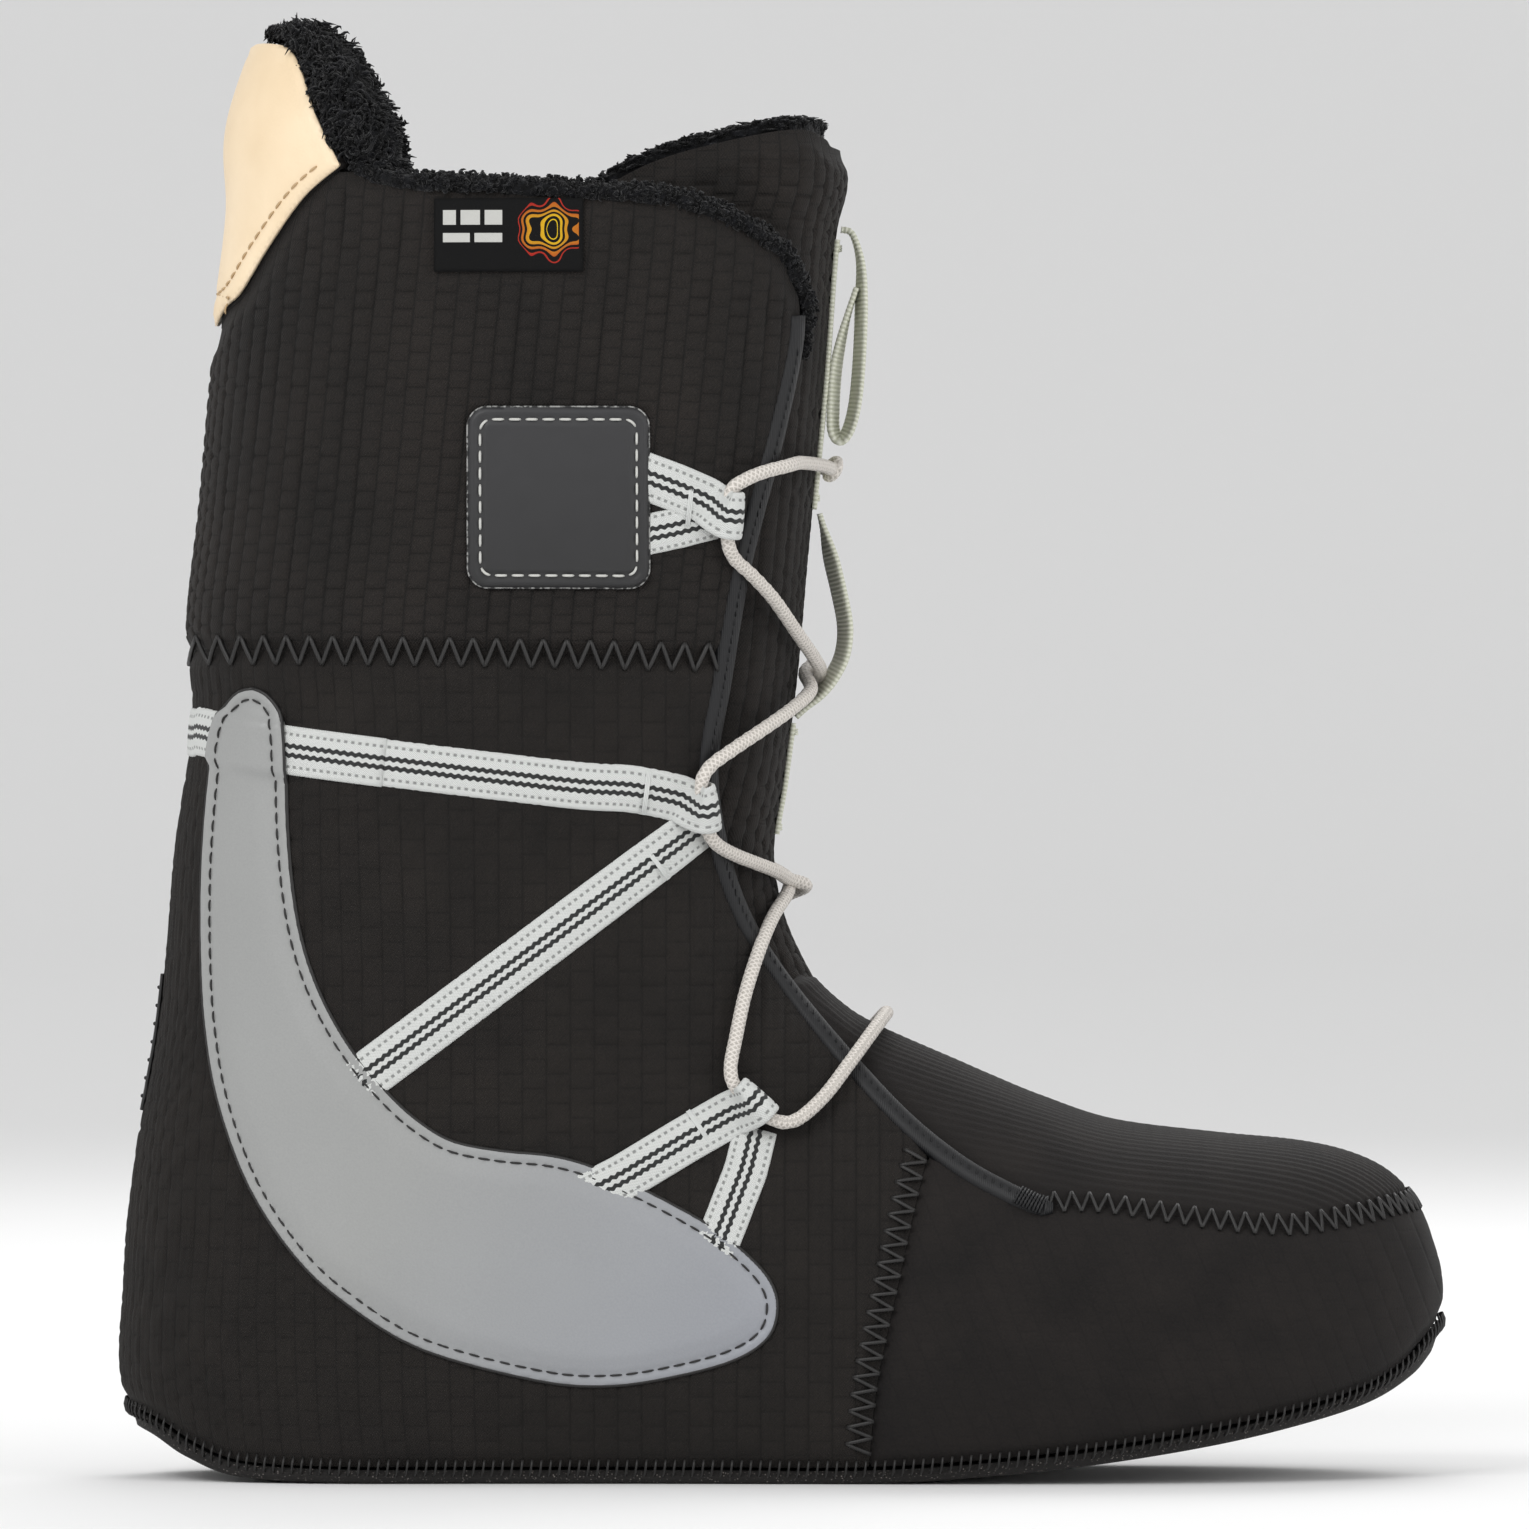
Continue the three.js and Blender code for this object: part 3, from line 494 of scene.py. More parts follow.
SOLE = spline([(-150, 14), (-139.6, 10.3), (-131.2, 5.3), (-118.7, 1.1), (-91.6, 0)]).tolist()
SOLE += spline([(-60, 0), (-20, 0), (19, 0), (47.4, 1.9), (69.4, 4.4), (93, 8.2), (111.9, 12.3),
                (128.4, 17), (138.3, 22.4), (143.1, 27.1), (152, 36)]).tolist()
SOLE = np.array(SOLE)
BOARD = 3.2


def beside(curve, distance):
    """A side-view curve moved to the left of the way it runs."""
    way = np.gradient(curve, axis=0)
    way /= np.linalg.norm(way, axis=1)[:, None]
    return curve + np.column_stack([-way[:, 1], way[:, 0]]) * distance


def sole_height(x, rise):
    lifted = beside(SOLE, rise)
    return np.interp(x, lifted[:, 0], lifted[:, 1])


def plan_half(x, rise, out=0.0):
    """The two Y places where the last's side stands at a distance along the sole."""
    z = float(sole_height(x, rise))
    outer = body_target.ray_cast(Vector((x, -200, z)), Vector((0, 1, 0)))[0]
    inner = body_target.ray_cast(Vector((x, 200, z)), Vector((0, -1, 0)))[0]
    if outer is None or inner is None:
        return None
    return outer[1] - out, inner[1] + out


def sole_outline(rise, out):
    """The closed loop that the last's side makes with the sole, as 3-D points."""
    places = [x for x in np.concatenate([np.linspace(-145.6, -136, 26), np.linspace(-135, 130, 150),
                                         np.linspace(130.5, 145.2, 40)]) if plan_half(x, rise)]
    places = np.array(places)
    ends = np.array([plan_half(x, rise, out) for x in places])
    left = np.column_stack([places, ends[:, 0]])
    right = np.column_stack([places, ends[:, 1]])[::-1]
    loop = np.concatenate([left, right])
    for _ in range(3):
        loop = 0.5 * loop + 0.25 * (np.roll(loop, 1, axis=0) + np.roll(loop, -1, axis=0))
    length = np.concatenate([[0], np.cumsum(np.linalg.norm(np.diff(loop, axis=0, append=loop[:1]),
                                                           axis=1))])
    spots = np.linspace(0, length[-1], 641)[:-1]
    closed = np.vstack([loop, loop[:1]])
    even = np.column_stack([np.interp(spots, length, closed[:, k]) for k in range(2)])
    return np.column_stack([even, sole_height(even[:, 0], rise)])


def sole_slab(name, levels, outs, material):
    """A plate built of stacked outlines, with rings drawn inwards top and bottom."""
    loops = [sole_outline(rise, out) for rise, out in zip(levels, outs)]

    def shrunk(loop, rise):
        middle = np.array([np.clip(loop[:, 0], -100, 100), np.full(len(loop), 3.0)]).T
        rings = []
        for share in (0.97, 0.9, 0.75, 0.5, 0.25, 0.05):
            flat = middle + (loop[:, :2] - middle) * share
            rings.append(np.column_stack([flat, sole_height(flat[:, 0], rise)]))
        return rings

    rows = shrunk(loops[0], levels[0])[::-1] + loops + shrunk(loops[-1], levels[-1])
    count = len(loops[0])
    faces = []
    for row in range(len(rows) - 1):
        for k in range(count):
            n = (k + 1) % count
            faces.append((row * count + k, row * count + n, (row + 1) * count + n,
                          (row + 1) * count + k))
    top = (len(rows) - 1) * count
    half = count // 2
    for k in range(half - 1):
        faces.append((k, count - 1 - k, count - 2 - k, k + 1))
        faces.append((top + k, top + k + 1, top + count - 2 - k, top + count - 1 - k))
    piece = mesh_piece(name, np.concatenate(rows), faces, material)
    bpy.context.view_layer.update()
    faces_out(piece)
    return piece


def faces_out(piece):
    """Turns a closed piece's faces outwards."""
    bpy.ops.object.select_all(action="DESELECT")
    piece.select_set(True)
    bpy.context.view_layer.objects.active = piece
    bpy.ops.object.mode_set(mode="EDIT")
    bpy.ops.mesh.select_all(action="SELECT")
    bpy.ops.mesh.normals_make_consistent(inside=False)
    bpy.ops.object.mode_set(mode="OBJECT")


board_stuff, shader, start = finish("board_fibre", 0.92)
flecks = start.make("ShaderNodeTexVoronoi", {"Vector": start, "Scale": 1500.0}, out="Distance")
fibre = grain(start, 900.0, 5.0)
fleck = (0.34 - flecks).between(0.0, 0.16) * fibre.between(0.46, 0.62)
feed(shader, "Base Color", fleck.mix((*srgb(26, 24, 23), 1), (*srgb(128, 122, 118), 1)))
bumped(shader, fibre + fleck, 0.6, 0.0003)

sole_board = sole_slab("sole_board_visual", [0.05, 0.5, 1.6, 2.6, 3.0],
                       [-0.8, 0.2, 0.7, 0.3, -0.6], board_stuff)
stands_for(sole_board, "sole_board")


# ---- Quarters: foam-backed knit, heat embossed with fine upright ribs, over the heel and waist. --
# Two mirrored panels meet at the back seam; each is sewn to its cuff, the toe box and the board.

FRONT_EDGE = spline([(2.3, 262.2), (3.9, 257.4), (3.2, 246.8), (-1.2, 227), (-7.9, 201.3),
                     (-12.4, 175.6), (-15.4, 153.8), (-10.1, 129.1), (1.1, 110), (22.6, 84.5),
                     (39.3, 70.4), (56.2, 61.6)])
COLLAR = spline([(-96.5, 287.8), (-84.2, 283.6), (-58.2, 282), (-39.7, 280.7), (-25, 279.8),
                 (-14.4, 276.3), (-6.1, 272.1), (-0.3, 267.7), (2.3, 262.2)])
TAB_EDGE = spline([(-127, 250), (-122.9, 257.2), (-118.9, 260.7), (-112.5, 270.6),
                   (-104.6, 281.2), (-96.5, 287.8)])
ANKLE_SEAM = np.array([(-160, 182.6), (-60, 181.6), (20, 180)])
FOREFOOT_SEAM = spline([(36, 90), (31.3, 72.4), (27.8, 58.3), (24.3, 42.2), (21.7, 30.4),
                        (19.5, 17.6), (17.4, -10)])
TOE_SEAM = spline([(56.2, 61.6), (66.8, 61.6), (76.5, 60.4), (87.7, 58.7), (98.9, 57.2),
                   (110.7, 56.5), (119.6, 57.6), (128.4, 59), (134.3, 60.4), (150, 64)])
ABOVE_SOLE = beside(SOLE, BOARD + 0.25)
SKIN = 3.0
BACK_GAP = 0.25


def panel(name, levels, angles, step, outline, relief, material, skin=SKIN, pillow=0.8, side=0):
    """A soft panel: the part of the last inside a side-view outline, eased down at its edges."""
    sheet = last_sheet(levels, angles, step)
    if levels[1] > 24:
        sheet = tip_faces(sheet)
    x, y, z = (sheet.points[..., k] for k in range(3))
    field = np.minimum(depth_in(x, z, outline), z - sole_height(x, BOARD + 0.25))
    if side:
        field = np.minimum(field, side * y - BACK_GAP)
    cut = Cut(sheet, field)
    drop = pillow * (1 - step_up(cut.depth, 0, 3.2))
    lift = relief(cut) * step_up(cut.depth, 1.5, 5.0) - drop
    return shell(name, cut, lift, skin, material), cut


def round_side(side):
    """The angles round a ring from the front to just past the back seam, on one side."""
    return (-math.pi - 0.01, 0.0) if side < 0 else (0.0, math.pi + 0.01)


def joined(*curves):
    return np.concatenate([np.asarray(curve, float) for curve in curves])


def wave(length, pitch):
    return 0.5 - 0.5 * np.cos(2 * math.pi * length / pitch)


def bricks(cut, columns, tall, deep, soft=0.75):
    """Staggered soft blocks between upright grooves, each puffed up by the foam behind it."""
    column = np.floor(cut.across / columns)
    groove = np.abs(cut.across / columns - column - 0.5) * 2
    shift = np.where(column % 2 > 0, 0.5, 0.0)
    course = cut.along / tall + shift
    ledge = np.abs(course - np.floor(course) - 0.5) * 2
    crown = 1 - 0.18 * (groove**2 + ledge**2)
    return deep * crown * (1 - groove**9) * (1 - soft * ledge**8)


def quarter_relief(cut):
    """Upright ribs and shallow blocks, level all round: the cloth's own lines, not the last's."""
    heel = 1 - step_up(cut.points[:, 0], -100, -60)
    cut.across = cut.points[:, 0] - 0.9 * (43 - np.abs(cut.points[:, 1] - 1)) * heel
    cut.along = cut.points[:, 2].copy()
    rib = wave(cut.across, 2.6)
    notch = np.abs((cut.along / 6.4) % 1 - 0.5) * 2
    return 0.34 * rib**0.7 - 0.22 * notch**8 + bricks(cut, 5.2, 6.4, 0.3)


quarter_outline = joined(ANKLE_SEAM[:2], [(-11.6, 180.4)], FRONT_EDGE[39:77], FOREFOOT_SEAM[6:],
                         ABOVE_SOLE[ABOVE_SOLE[:, 0] < 18][::-1], [(-160, 20)])

ribbed, shader, start = finish("ribbed_knit", 0.88, sheen=0.02, shine=0.3)
fuzz = grain(start, 2600.0)
cloud = grain(start, 60.0, 2.0)
across, along = weave_lines(start)
knit = (across * (2 * math.pi / 0.65)).sin() * (along * (2 * math.pi / 0.8)).sin()
grooves = lattice(across, along, 5.2, 6.4, 0.14)
# Painted shade: the colour is darkened in the grooves between the blocks, where shade falls.
tone = (fuzz * 0.6 + cloud * 0.4).between(0.3, 0.7) * (1.0 - grooves * 0.7)
feed(shader, "Base Color", tone.mix((*srgb(15, 13, 12), 1), (*srgb(34, 30, 27), 1)))
bumped(shader, knit * 0.4 + fuzz - grooves, 0.5, 0.0004)

for name, side in SIDES:
    quarter, cut = panel(f"quarter_{name}_visual", (5.0, 17.4), round_side(side), 1.15, quarter_outline,
                         quarter_relief, ribbed, side=side)
    stands_for(quarter, f"quarter_{name}", fill=0.45)


# ---- Cuffs: the same foam laminate with a deep waffle pattern, from the ankle seam up. ----
# The collar is turned over the pile trim at the top and the flap edge is bound in front.

cuff_outline = joined(TAB_EDGE, COLLAR[1:], FRONT_EDGE[1:39], [(-11.6, 180.4)],
                      ANKLE_SEAM[:2][::-1], [(-160, 245)])

waffle, shader, start = finish("waffle_knit", 0.84, sheen=0.02, shine=0.3)
fuzz = grain(start, 2600.0)
cloud = grain(start, 45.0, 2.0)
across, along = weave_lines(start)
knit = (across * (2 * math.pi / 0.7)).sin() * (along * (2 * math.pi / 0.9)).sin()
grooves = lattice(across, along, 4.6, 3.8)
# Painted shade: the colour is darkened strongly in the grooves between the blocks, where shade falls.
tone = (fuzz * 0.6 + cloud * 0.4).between(0.3, 0.7) * (1.0 - grooves * 0.85)
feed(shader, "Base Color", tone.mix((*srgb(12, 11, 10), 1), (*srgb(36, 31, 28), 1)))
bumped(shader, knit * 0.4 + fuzz - grooves, 0.5, 0.0004)


def cuff_relief(cut):
    """Blocks all over, pressed flat where the label and the square patch are sewn on."""
    label = step_up(np.maximum(np.abs(cut.points[:, 0] + 60) - 17,
                               np.abs(cut.points[:, 2] - 272.4) - 8.6), 0.0, 2.0)
    patch = step_up(np.maximum(np.abs(cut.points[:, 0] + 49.3),
                               np.abs(cut.points[:, 2] - 215.4)) - 19.5, -1.0, 1.0)
    return bricks(cut, 4.6, 3.8, 0.9) * np.minimum(label, patch)


for name, side in SIDES:
    cuff, cut = panel(f"cuff_{name}_visual", (1.6, 5.6), round_side(side), 0.7, cuff_outline,
                      cuff_relief, waffle, side=side)
    stands_for(cuff, f"cuff_{name}", fill=0.45)


# ---- Toe box: smooth brushed knit over foam, one piece moulded round the toes. ----
# It is sewn to the quarters, to the stretch vamp above and to the board below.

toe_outline = joined(FOREFOOT_SEAM[6:][::-1], FRONT_EDGE[77:], TOE_SEAM[1:], [(160, 66)],
                     [(160, 30)], ABOVE_SOLE[ABOVE_SOLE[:, 0] > 19][::-1])

brushed, shader, start = finish("brushed_knit", 0.9, sheen=0.02, shine=0.3)
fuzz = grain(start, 2400.0)
cloud = grain(start, 70.0, 2.0)
across, along = weave_lines(start)
grooves = lattice(across, along, 4.6, 4.2, 0.2)
# Painted shade: the colour is darkened a little in the grooves between the blocks, where shade falls.
tone = (fuzz * 0.55 + cloud * 0.45).between(0.3, 0.7) * (1.0 - grooves * 0.3)
feed(shader, "Base Color", tone.mix((*srgb(14, 12, 12), 1), (*srgb(32, 28, 26), 1)))
bumped(shader, fuzz + cloud * 0.8 - grooves * 0.5, 0.4, 0.0003)


def toe_relief(cut):
    cut.across, cut.along = cut.points[:, 0] + 0.4 * cut.points[:, 2], cut.points[:, 2] * 1.0
    wide = np.sin(cut.points[:, 0] * 0.11) * np.sin(cut.points[:, 2] * 0.16 + 0.6)
    return 0.22 * wide + bricks(cut, 4.6, 4.2, 0.14)


def tip_faces(sheet):
    """At the tip of the toes, where the rings shrink to nothing, the last faces forwards."""
    share = step_up(np.linspace(0, 1, len(sheet.points)), 0.975, 0.99)[:, None, None]
    facing = sheet.facing * (1 - share) + np.array([1.0, 0, 0]) * share
    sheet.facing = facing / np.linalg.norm(facing, axis=2)[..., None]
    return sheet


toe_box, cut = panel("toe_box_visual", (14.6, 25.0), (-math.pi, math.pi), 1.2, toe_outline,
                     toe_relief, brushed, pillow=1.0)
stands_for(toe_box, "toe_box", fill=0.4)


# ---- Vamp top: fine-ribbed stretch knit over the instep and the top of the toes. ----
# It is tucked under the flap edges, sewn to the toe box, and ends at the foot of the tongue.

TONGUE_FOOT = np.array([(-14.4, 97.4), (5.7, 112.8), (20, 124), (40, 139)])
vamp_outline = joined([(-16, 112), (-6, 122)], FRONT_EDGE[58:], TOE_SEAM[1:], [(160, 66)],
                      [(160, 140), (-16, 140)])


def tongue_half(z):
    return 16 + (31.5 - 16) * np.sin(np.clip((z - 104) / 76, 0, 1) * math.pi / 2)


def vamp_field(x, y, z):
    under = depth_in(x, z, joined(TONGUE_FOOT, [(200, 139), (200, -50), (-14.4, -50)]))
    beyond = np.abs(y) - tongue_half(z) - 0.5
    return np.minimum(depth_in(x, z, vamp_outline), np.maximum(under, beyond))


stretch, shader, start = finish("stretch_knit", 0.84, sheen=0.02, shine=0.3)
fuzz = grain(start, 2800.0)
cloud = grain(start, 80.0, 2.0)
feed(shader, "Base Color", (fuzz * 0.6 + cloud * 0.4).between(0.3, 0.7).mix(
    (*srgb(14, 12, 12), 1), (*srgb(31, 27, 25), 1)))
bumped(shader, fuzz, 0.35, 0.0003)

sheet = last_sheet((7.0, 25.0), (-math.pi * 0.62, math.pi * 0.62), 1.1)
field = vamp_field(*(sheet.points[..., k] for k in range(3)))
cut = Cut(sheet, field)
rib = 0.3 * wave(cut.across, 2.3) * (0.75 + 0.25 * wave(cut.along, 1.9))
lift = rib * step_up(cut.depth, 0.5, 3.0) - 1.1 * (1 - step_up(cut.depth, 0, 3.5)) - 0.2
vamp_top = shell("vamp_top_visual", cut, lift, SKIN - 0.4, stretch)
stands_for(vamp_top, "vamp_top", fill=0.3)


# ---- Seams: black sewing thread, zigzagged over the panel joints and whipped round the board. ----
# Each line is one run of thread; it belongs to the panels and stays with them.

class Bag:
    """Collects many small shapes into one mesh; each adds its points, faces and weave."""

    def __init__(self):
        self.points = []
        self.faces = []
        self.weave = []

    def put(self, points, faces, weave=None):
        base = len(self.points)
        self.points += [tuple(point) for point in points]
        self.faces += [tuple(k + base for k in face) for face in faces]
        self.weave += [(0, 0)] * len(points) if weave is None else [tuple(w) for w in weave]

    def piece(self, name, material):
        return mesh_piece(name, np.array(self.points), self.faces, material, self.weave)


def tube_faces(rows, sides):
    """The faces of a tube of rings, closed at both ends."""
    faces = []
    for row in range(rows - 1):
        for k in range(sides):
            n = (k + 1) % sides
            faces.append((row * sides + k, row * sides + n, (row + 1) * sides + n,
                          (row + 1) * sides + k))
    end = (rows - 1) * sides
    faces.append(tuple(range(sides))[::-1])
    faces.append(tuple(end + k for k in range(sides)))
    return faces


def swept(points, radius, sides=6, flat=1.0, face=None):
    """A closed tube along points; flat squashes it towards the face directions given."""
    points = np.asarray(points, float)
    way = np.gradient(points, axis=0)
    way /= np.maximum(np.linalg.norm(way, axis=1), 1e-9)[:, None]
    if face is None:
        guide = np.array([0.31, 0.5, 0.81])
        up = guide - way * (way @ guide)[:, None]
        for k in range(1, len(up)):
            up[k] = up[k - 1] - way[k] * (up[k - 1] @ way[k])
            up[k] /= max(np.linalg.norm(up[k]), 1e-9)
        up[0] /= np.linalg.norm(up[0])
    else:
        up = face - way * np.einsum("ij,ij->i", face, way)[:, None]
        up /= np.maximum(np.linalg.norm(up, axis=1), 1e-9)[:, None]
    across = np.cross(way, up)
    turn = 2 * math.pi * np.arange(sides) / sides
    radius = np.broadcast_to(np.asarray(radius, float), len(points))
    rings = (points[:, None] + across[:, None] * (np.cos(turn)[None, :, None]
                                                  * radius[:, None, None])
             + up[:, None] * (np.sin(turn)[None, :, None] * radius[:, None, None] * flat))
    length = np.concatenate([[0], np.cumsum(np.linalg.norm(np.diff(points, axis=0), axis=1))])
    weave = [(turn[k] * radius[row], length[row]) for row in range(len(points))
             for k in range(sides)]
    return rings.reshape(-1, 3), tube_faces(len(points), sides), weave


def run_on(path, out):
    """A path of 3-D points laid on the last, standing out of it; and the faces under it."""
    laid = [hugged(point) for point in path]
    points = np.array([place + face * out for place, face in laid])
    return points, np.array([face for _, face in laid])


def even_run(curve, gap):
    """Places at an even spacing along a side-view or 3-D curve."""
    curve = np.asarray(curve, float)
    length = np.concatenate([[0], np.cumsum(np.linalg.norm(np.diff(curve, axis=0), axis=1))])
    count = max(int(length[-1] / gap), 1)
    spots = np.linspace(0, length[-1], count + 1)
    return np.column_stack([np.interp(spots, length, curve[:, k]) for k in range(curve.shape[1])])


def side_run(curve, side, gap, out):
    """A side-view curve laid on one side of the last; stops where the last ends."""
    points, faces = [], []
    for x, z in even_run(curve, gap):
        place, face = side_place(x, z, side)
        points.append(place + face * out)
        faces.append(face)
    return np.array(points), np.array(faces)


def zigzag(bag, points, faces, half, radius):
    """Thread crossing a laid line from side to side at each of its points."""
    way = np.gradient(points, axis=0)
    way /= np.linalg.norm(way, axis=1)[:, None]
    across = np.cross(faces, way)
    swing = np.where(np.arange(len(points)) % 2 > 0, half, -half)[:, None]
    peaks = points + across * swing
    for a, b, fa, fb in zip(peaks[:-1], peaks[1:], faces[:-1], faces[1:]):
        share = np.linspace(0, 1, 6)[:, None]
        line = a + (b - a) * share
        rise = np.sin(share * math.pi) * 0.22
        line = line + (fa + (fb - fa) * share) * rise
        bag.put(*swept(line, radius, 6))


thread, shader, start = finish("black_thread", 0.5)
twist = start.make("ShaderNodeTexWave", {"Vector": start, "Scale": 900.0, "Distortion": 1.5},
                   out="Fac")
feed(shader, "Base Color", twist.mix((*srgb(10, 10, 10), 1), (*srgb(36, 34, 33), 1)))

seam_thread = Bag()
for name, side in SIDES:
    line = [(-131.4, 182.4), (-100, 182.2), (-60, 181.6), (-14.5, 180.6)]
    zigzag(seam_thread, *side_run(line, side, 2.5, 0.3), 3.1, 0.55)
    line = FOREFOOT_SEAM[8:44] + [-2.6, 0]
    zigzag(seam_thread, *side_run(line, side, 1.8, 0.3), 2.8, 0.5)
    line = TOE_SEAM[1:64]
    points, faces = side_run(line, side, 1.8, 0.1)
    end = points[-1]
    front = []
    for share in np.linspace(0, 1, 12)[1:]:
        z = end[2] + 1.2 * share
        y = 8.0 + (end[1] - 8.0) * (1 - share)
        hit, face, _, _ = body_target.ray_cast(Vector((200, y, z)), Vector((-1, 0, 0)))
        front.append((np.array(hit), outward(np.array(hit), np.array(face))))
    points = np.concatenate([points, [place + face * 0.1 for place, face in front]])
    faces = np.concatenate([faces, [face for _, face in front]])
    spots = even_run(np.concatenate([points, faces], axis=1), 1.9)
    faces = spots[:, 3:] / np.linalg.norm(spots[:, 3:], axis=1)[:, None]
    zigzag(seam_thread, spots[:, :3], faces, 2.5, 0.45)
edge = sole_outline(BOARD, 0.0)[::2] + [0, 0, 0.25]
for point, after in zip(edge, np.roll(edge, -1, axis=0)):
    place, face = hugged(point)
    on = (after - point) / np.linalg.norm(after - point)
    up = np.array([0, 0, 1.0]) - face * face[2]
    up /= np.linalg.norm(up)
    loop = [place + face * 0.5 - up * 1.5, place + face * 0.95 + on * 0.3 - up * 0.5,
            place + face * 0.85 + on * 0.5 + up * 0.9, place + face * 0.1 + on * 0.7 + up * 2.2]
    seam_thread.put(*swept(loop, 0.3, 5))
seams_piece = seam_thread.piece("seam_thread", thread)
stands_for(seams_piece)


# ---- Edge bindings: smooth woven tape folded over the flap edges and stitched down. ----
# Each ends at the toe seam in a turned-under tip that is held by a dense bar of stitches.

binding_stuff, shader, start = finish("binding_tape", 0.48, shine=0.4)
weft = start.make("ShaderNodeTexWave", {"Vector": start, "Scale": 700.0, "Distortion": 0.6},
                  out="Fac")
feed(shader, "Base Color", weft.mix((*srgb(9, 9, 11), 1), (*srgb(20, 21, 24), 1)))
bumped(shader, weft, 0.3, 0.0002)


def ribbon_sweep(points, faces, half, profile, out=0.0):
    """A closed band along a laid path: profile gives (share across, height) pairs, top face."""
    way = np.gradient(points, axis=0)
    way /= np.linalg.norm(way, axis=1)[:, None]
    across = np.cross(faces, way)
    across /= np.linalg.norm(across, axis=1)[:, None]
    half = np.broadcast_to(np.asarray(half, float), len(points))
    shape = np.array(profile, float)
    rings = (points[:, None] + across[:, None] * (shape[None, :, :1] * half[:, None, None])
             + faces[:, None] * (shape[None, :, 1:2] + out))
    sides = len(shape)
    length = np.concatenate([[0], np.cumsum(np.linalg.norm(np.diff(points, axis=0), axis=1))])
    weave = [(shape[k, 0] * half[row], length[row]) for row in range(len(points))
             for k in range(sides)]
    shapes = [face[:1] + face[:0:-1] for face in tube_faces(len(points), sides)]
    return rings.reshape(-1, 3), shapes, weave


FOLDED = [(-1, -1.6), (-1.12, -0.6), (-1.04, 0.35), (-0.7, 0.9), (-0.2, 1.05), (0.4, 0.95),
          (0.9, 0.7), (1.0, 0.3), (0.96, -0.3), (0.2, -1.4)]
for name, side in SIDES:
    line = joined(beside(FRONT_EDGE, -1.2)[10:], [(58.5, 60.4)])
    points, faces = side_run(line, side, 2.0, 0.0)
    half = np.full(len(points), 2.3)
    half[-4:] = [2.2, 2.1, 1.9, 1.2]
    shape = FOLDED if side < 0 else [(-a, b) for a, b in FOLDED][::-1]
    binding = Bag()
    binding.put(*ribbon_sweep(points, faces, half, shape))
    for place, face in zip(points[4:-2], faces[4:-2]):
        dash = [place + face * 1.0 + [0.0, 0, 0.8], place + face * 1.15, place + face * 1.0
                - [0.0, 0, 0.8]]
        binding.put(*swept(dash, 0.16, 5))
    way = np.gradient(points, axis=0)
    way /= np.linalg.norm(way, axis=1)[:, None]
    for k in range(10):
        spot = len(points) - 5 + k * 0.36
        row = int(spot)
        centre = points[row] + (points[min(row + 1, len(points) - 1)] - points[row]) * (spot - row)
        across = np.cross(faces[row], way[row])
        binding.put(*swept([centre - across * 2.3 + faces[row] * 0.9,
                            centre + faces[row] * 1.45,
                            centre + across * 2.3 + faces[row] * 0.9], 0.34, 6))
    piece = binding.piece(f"edge_binding_{name}_visual", binding_stuff)
    faces_out(piece)
    stands_for(piece, f"edge_binding_{name}")


# ---- Tongue: a wide waffled foam panel, sewn in at the instep, lined with fleece. ----
# It follows the front of the leg and folds back inside both cuffs.

TONGUE = np.array([
    # front x, z, way back x, z, wing depth
    [13.2, 306, -1, 0, 60], [13.4, 286, -1, 0, 56], [10.7, 273, -1, 0, 54], [8.3, 242, -1, 0, 50],
    [4.7, 204, -1, 0, 44], [2.4, 178, -1, 0, 38], [-0.6, 154, -1, 0, 34],
    [-2.9, 138, -1, -0.1, 30], [-0.6, 124, -1, -0.35, 27], [4.4, 112.6, -1, -0.8, 24],
    [9.0, 105.2, -1, -0.9, 21]])
NOSE = 19
NOSE_SHARE = 1.9


def tongue_at(level, share, inset):
    """A place on the tongue: share runs from -1 at one wing to 1 at the other."""
    row = eased(TONGUE, np.array([level]))[0]
    back = row[2:4] / np.linalg.norm(row[2:4])
    turn = np.clip(share * NOSE_SHARE, -1, 1) * math.pi / 2
    round_part = abs(turn) < math.pi / 2 - 1e-6
    depth = (NOSE - inset) * math.cos(turn) ** 0.85 if round_part else 0.0
    along = NOSE - depth
    wing = max(abs(share) - 1 / NOSE_SHARE, 0) / (1 - 1 / NOSE_SHARE)
    along += wing * (row[4] - NOSE)
    z = row[1] + back[1] * along
    half = tongue_half(z) - inset
    return (row[0] + back[0] * along, math.sin(turn) * half, z)


def tongue_sheet(levels, step, inset=0.0):
    rows = int(200 * (levels[1] - levels[0]) / 8.5 / step)
    columns = int(170 / step)
    points = np.array([[tongue_at(level, share, inset)
                        for share in np.linspace(-1, 1, columns)]
                       for level in np.linspace(*levels, rows)])
    centre = points.mean(axis=1, keepdims=True) + np.array([-30.0, 0, 0])
    return Sheet(points, centre)


TONGUE_TOP = spline([(60, 290), (30, 292), (12.9, 292.8), (10.2, 294.6), (4.5, 296.4),
                     (-8.7, 294.6), (-27.6, 289.6), (-42, 282), (-60, 270), (-70, 264)])
tongue_outline = joined(TONGUE_TOP, [(-70, 50), (60, 50)])
sheet = tongue_sheet((0.4, 9.9), 0.85)
cut = Cut(sheet, depth_in(sheet.points[..., 0], sheet.points[..., 2], tongue_outline))
relief = bricks(cut, 4.6, 5.0, 1.0) * step_up(cut.depth, 2.0, 6.0)
tongue = shell("tongue_visual", cut, relief - 0.9 * (1 - step_up(cut.depth, 0, 4.5)) - 0.3,
               4.2, waffle)
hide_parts("tongue")
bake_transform(tongue)


# ---- Pile: dark curly polyester fleece, knitted to a backing, that lines the whole liner. ----
# The body is a thick rough skin; where it shows at the edges, curled tufts stand out of it.

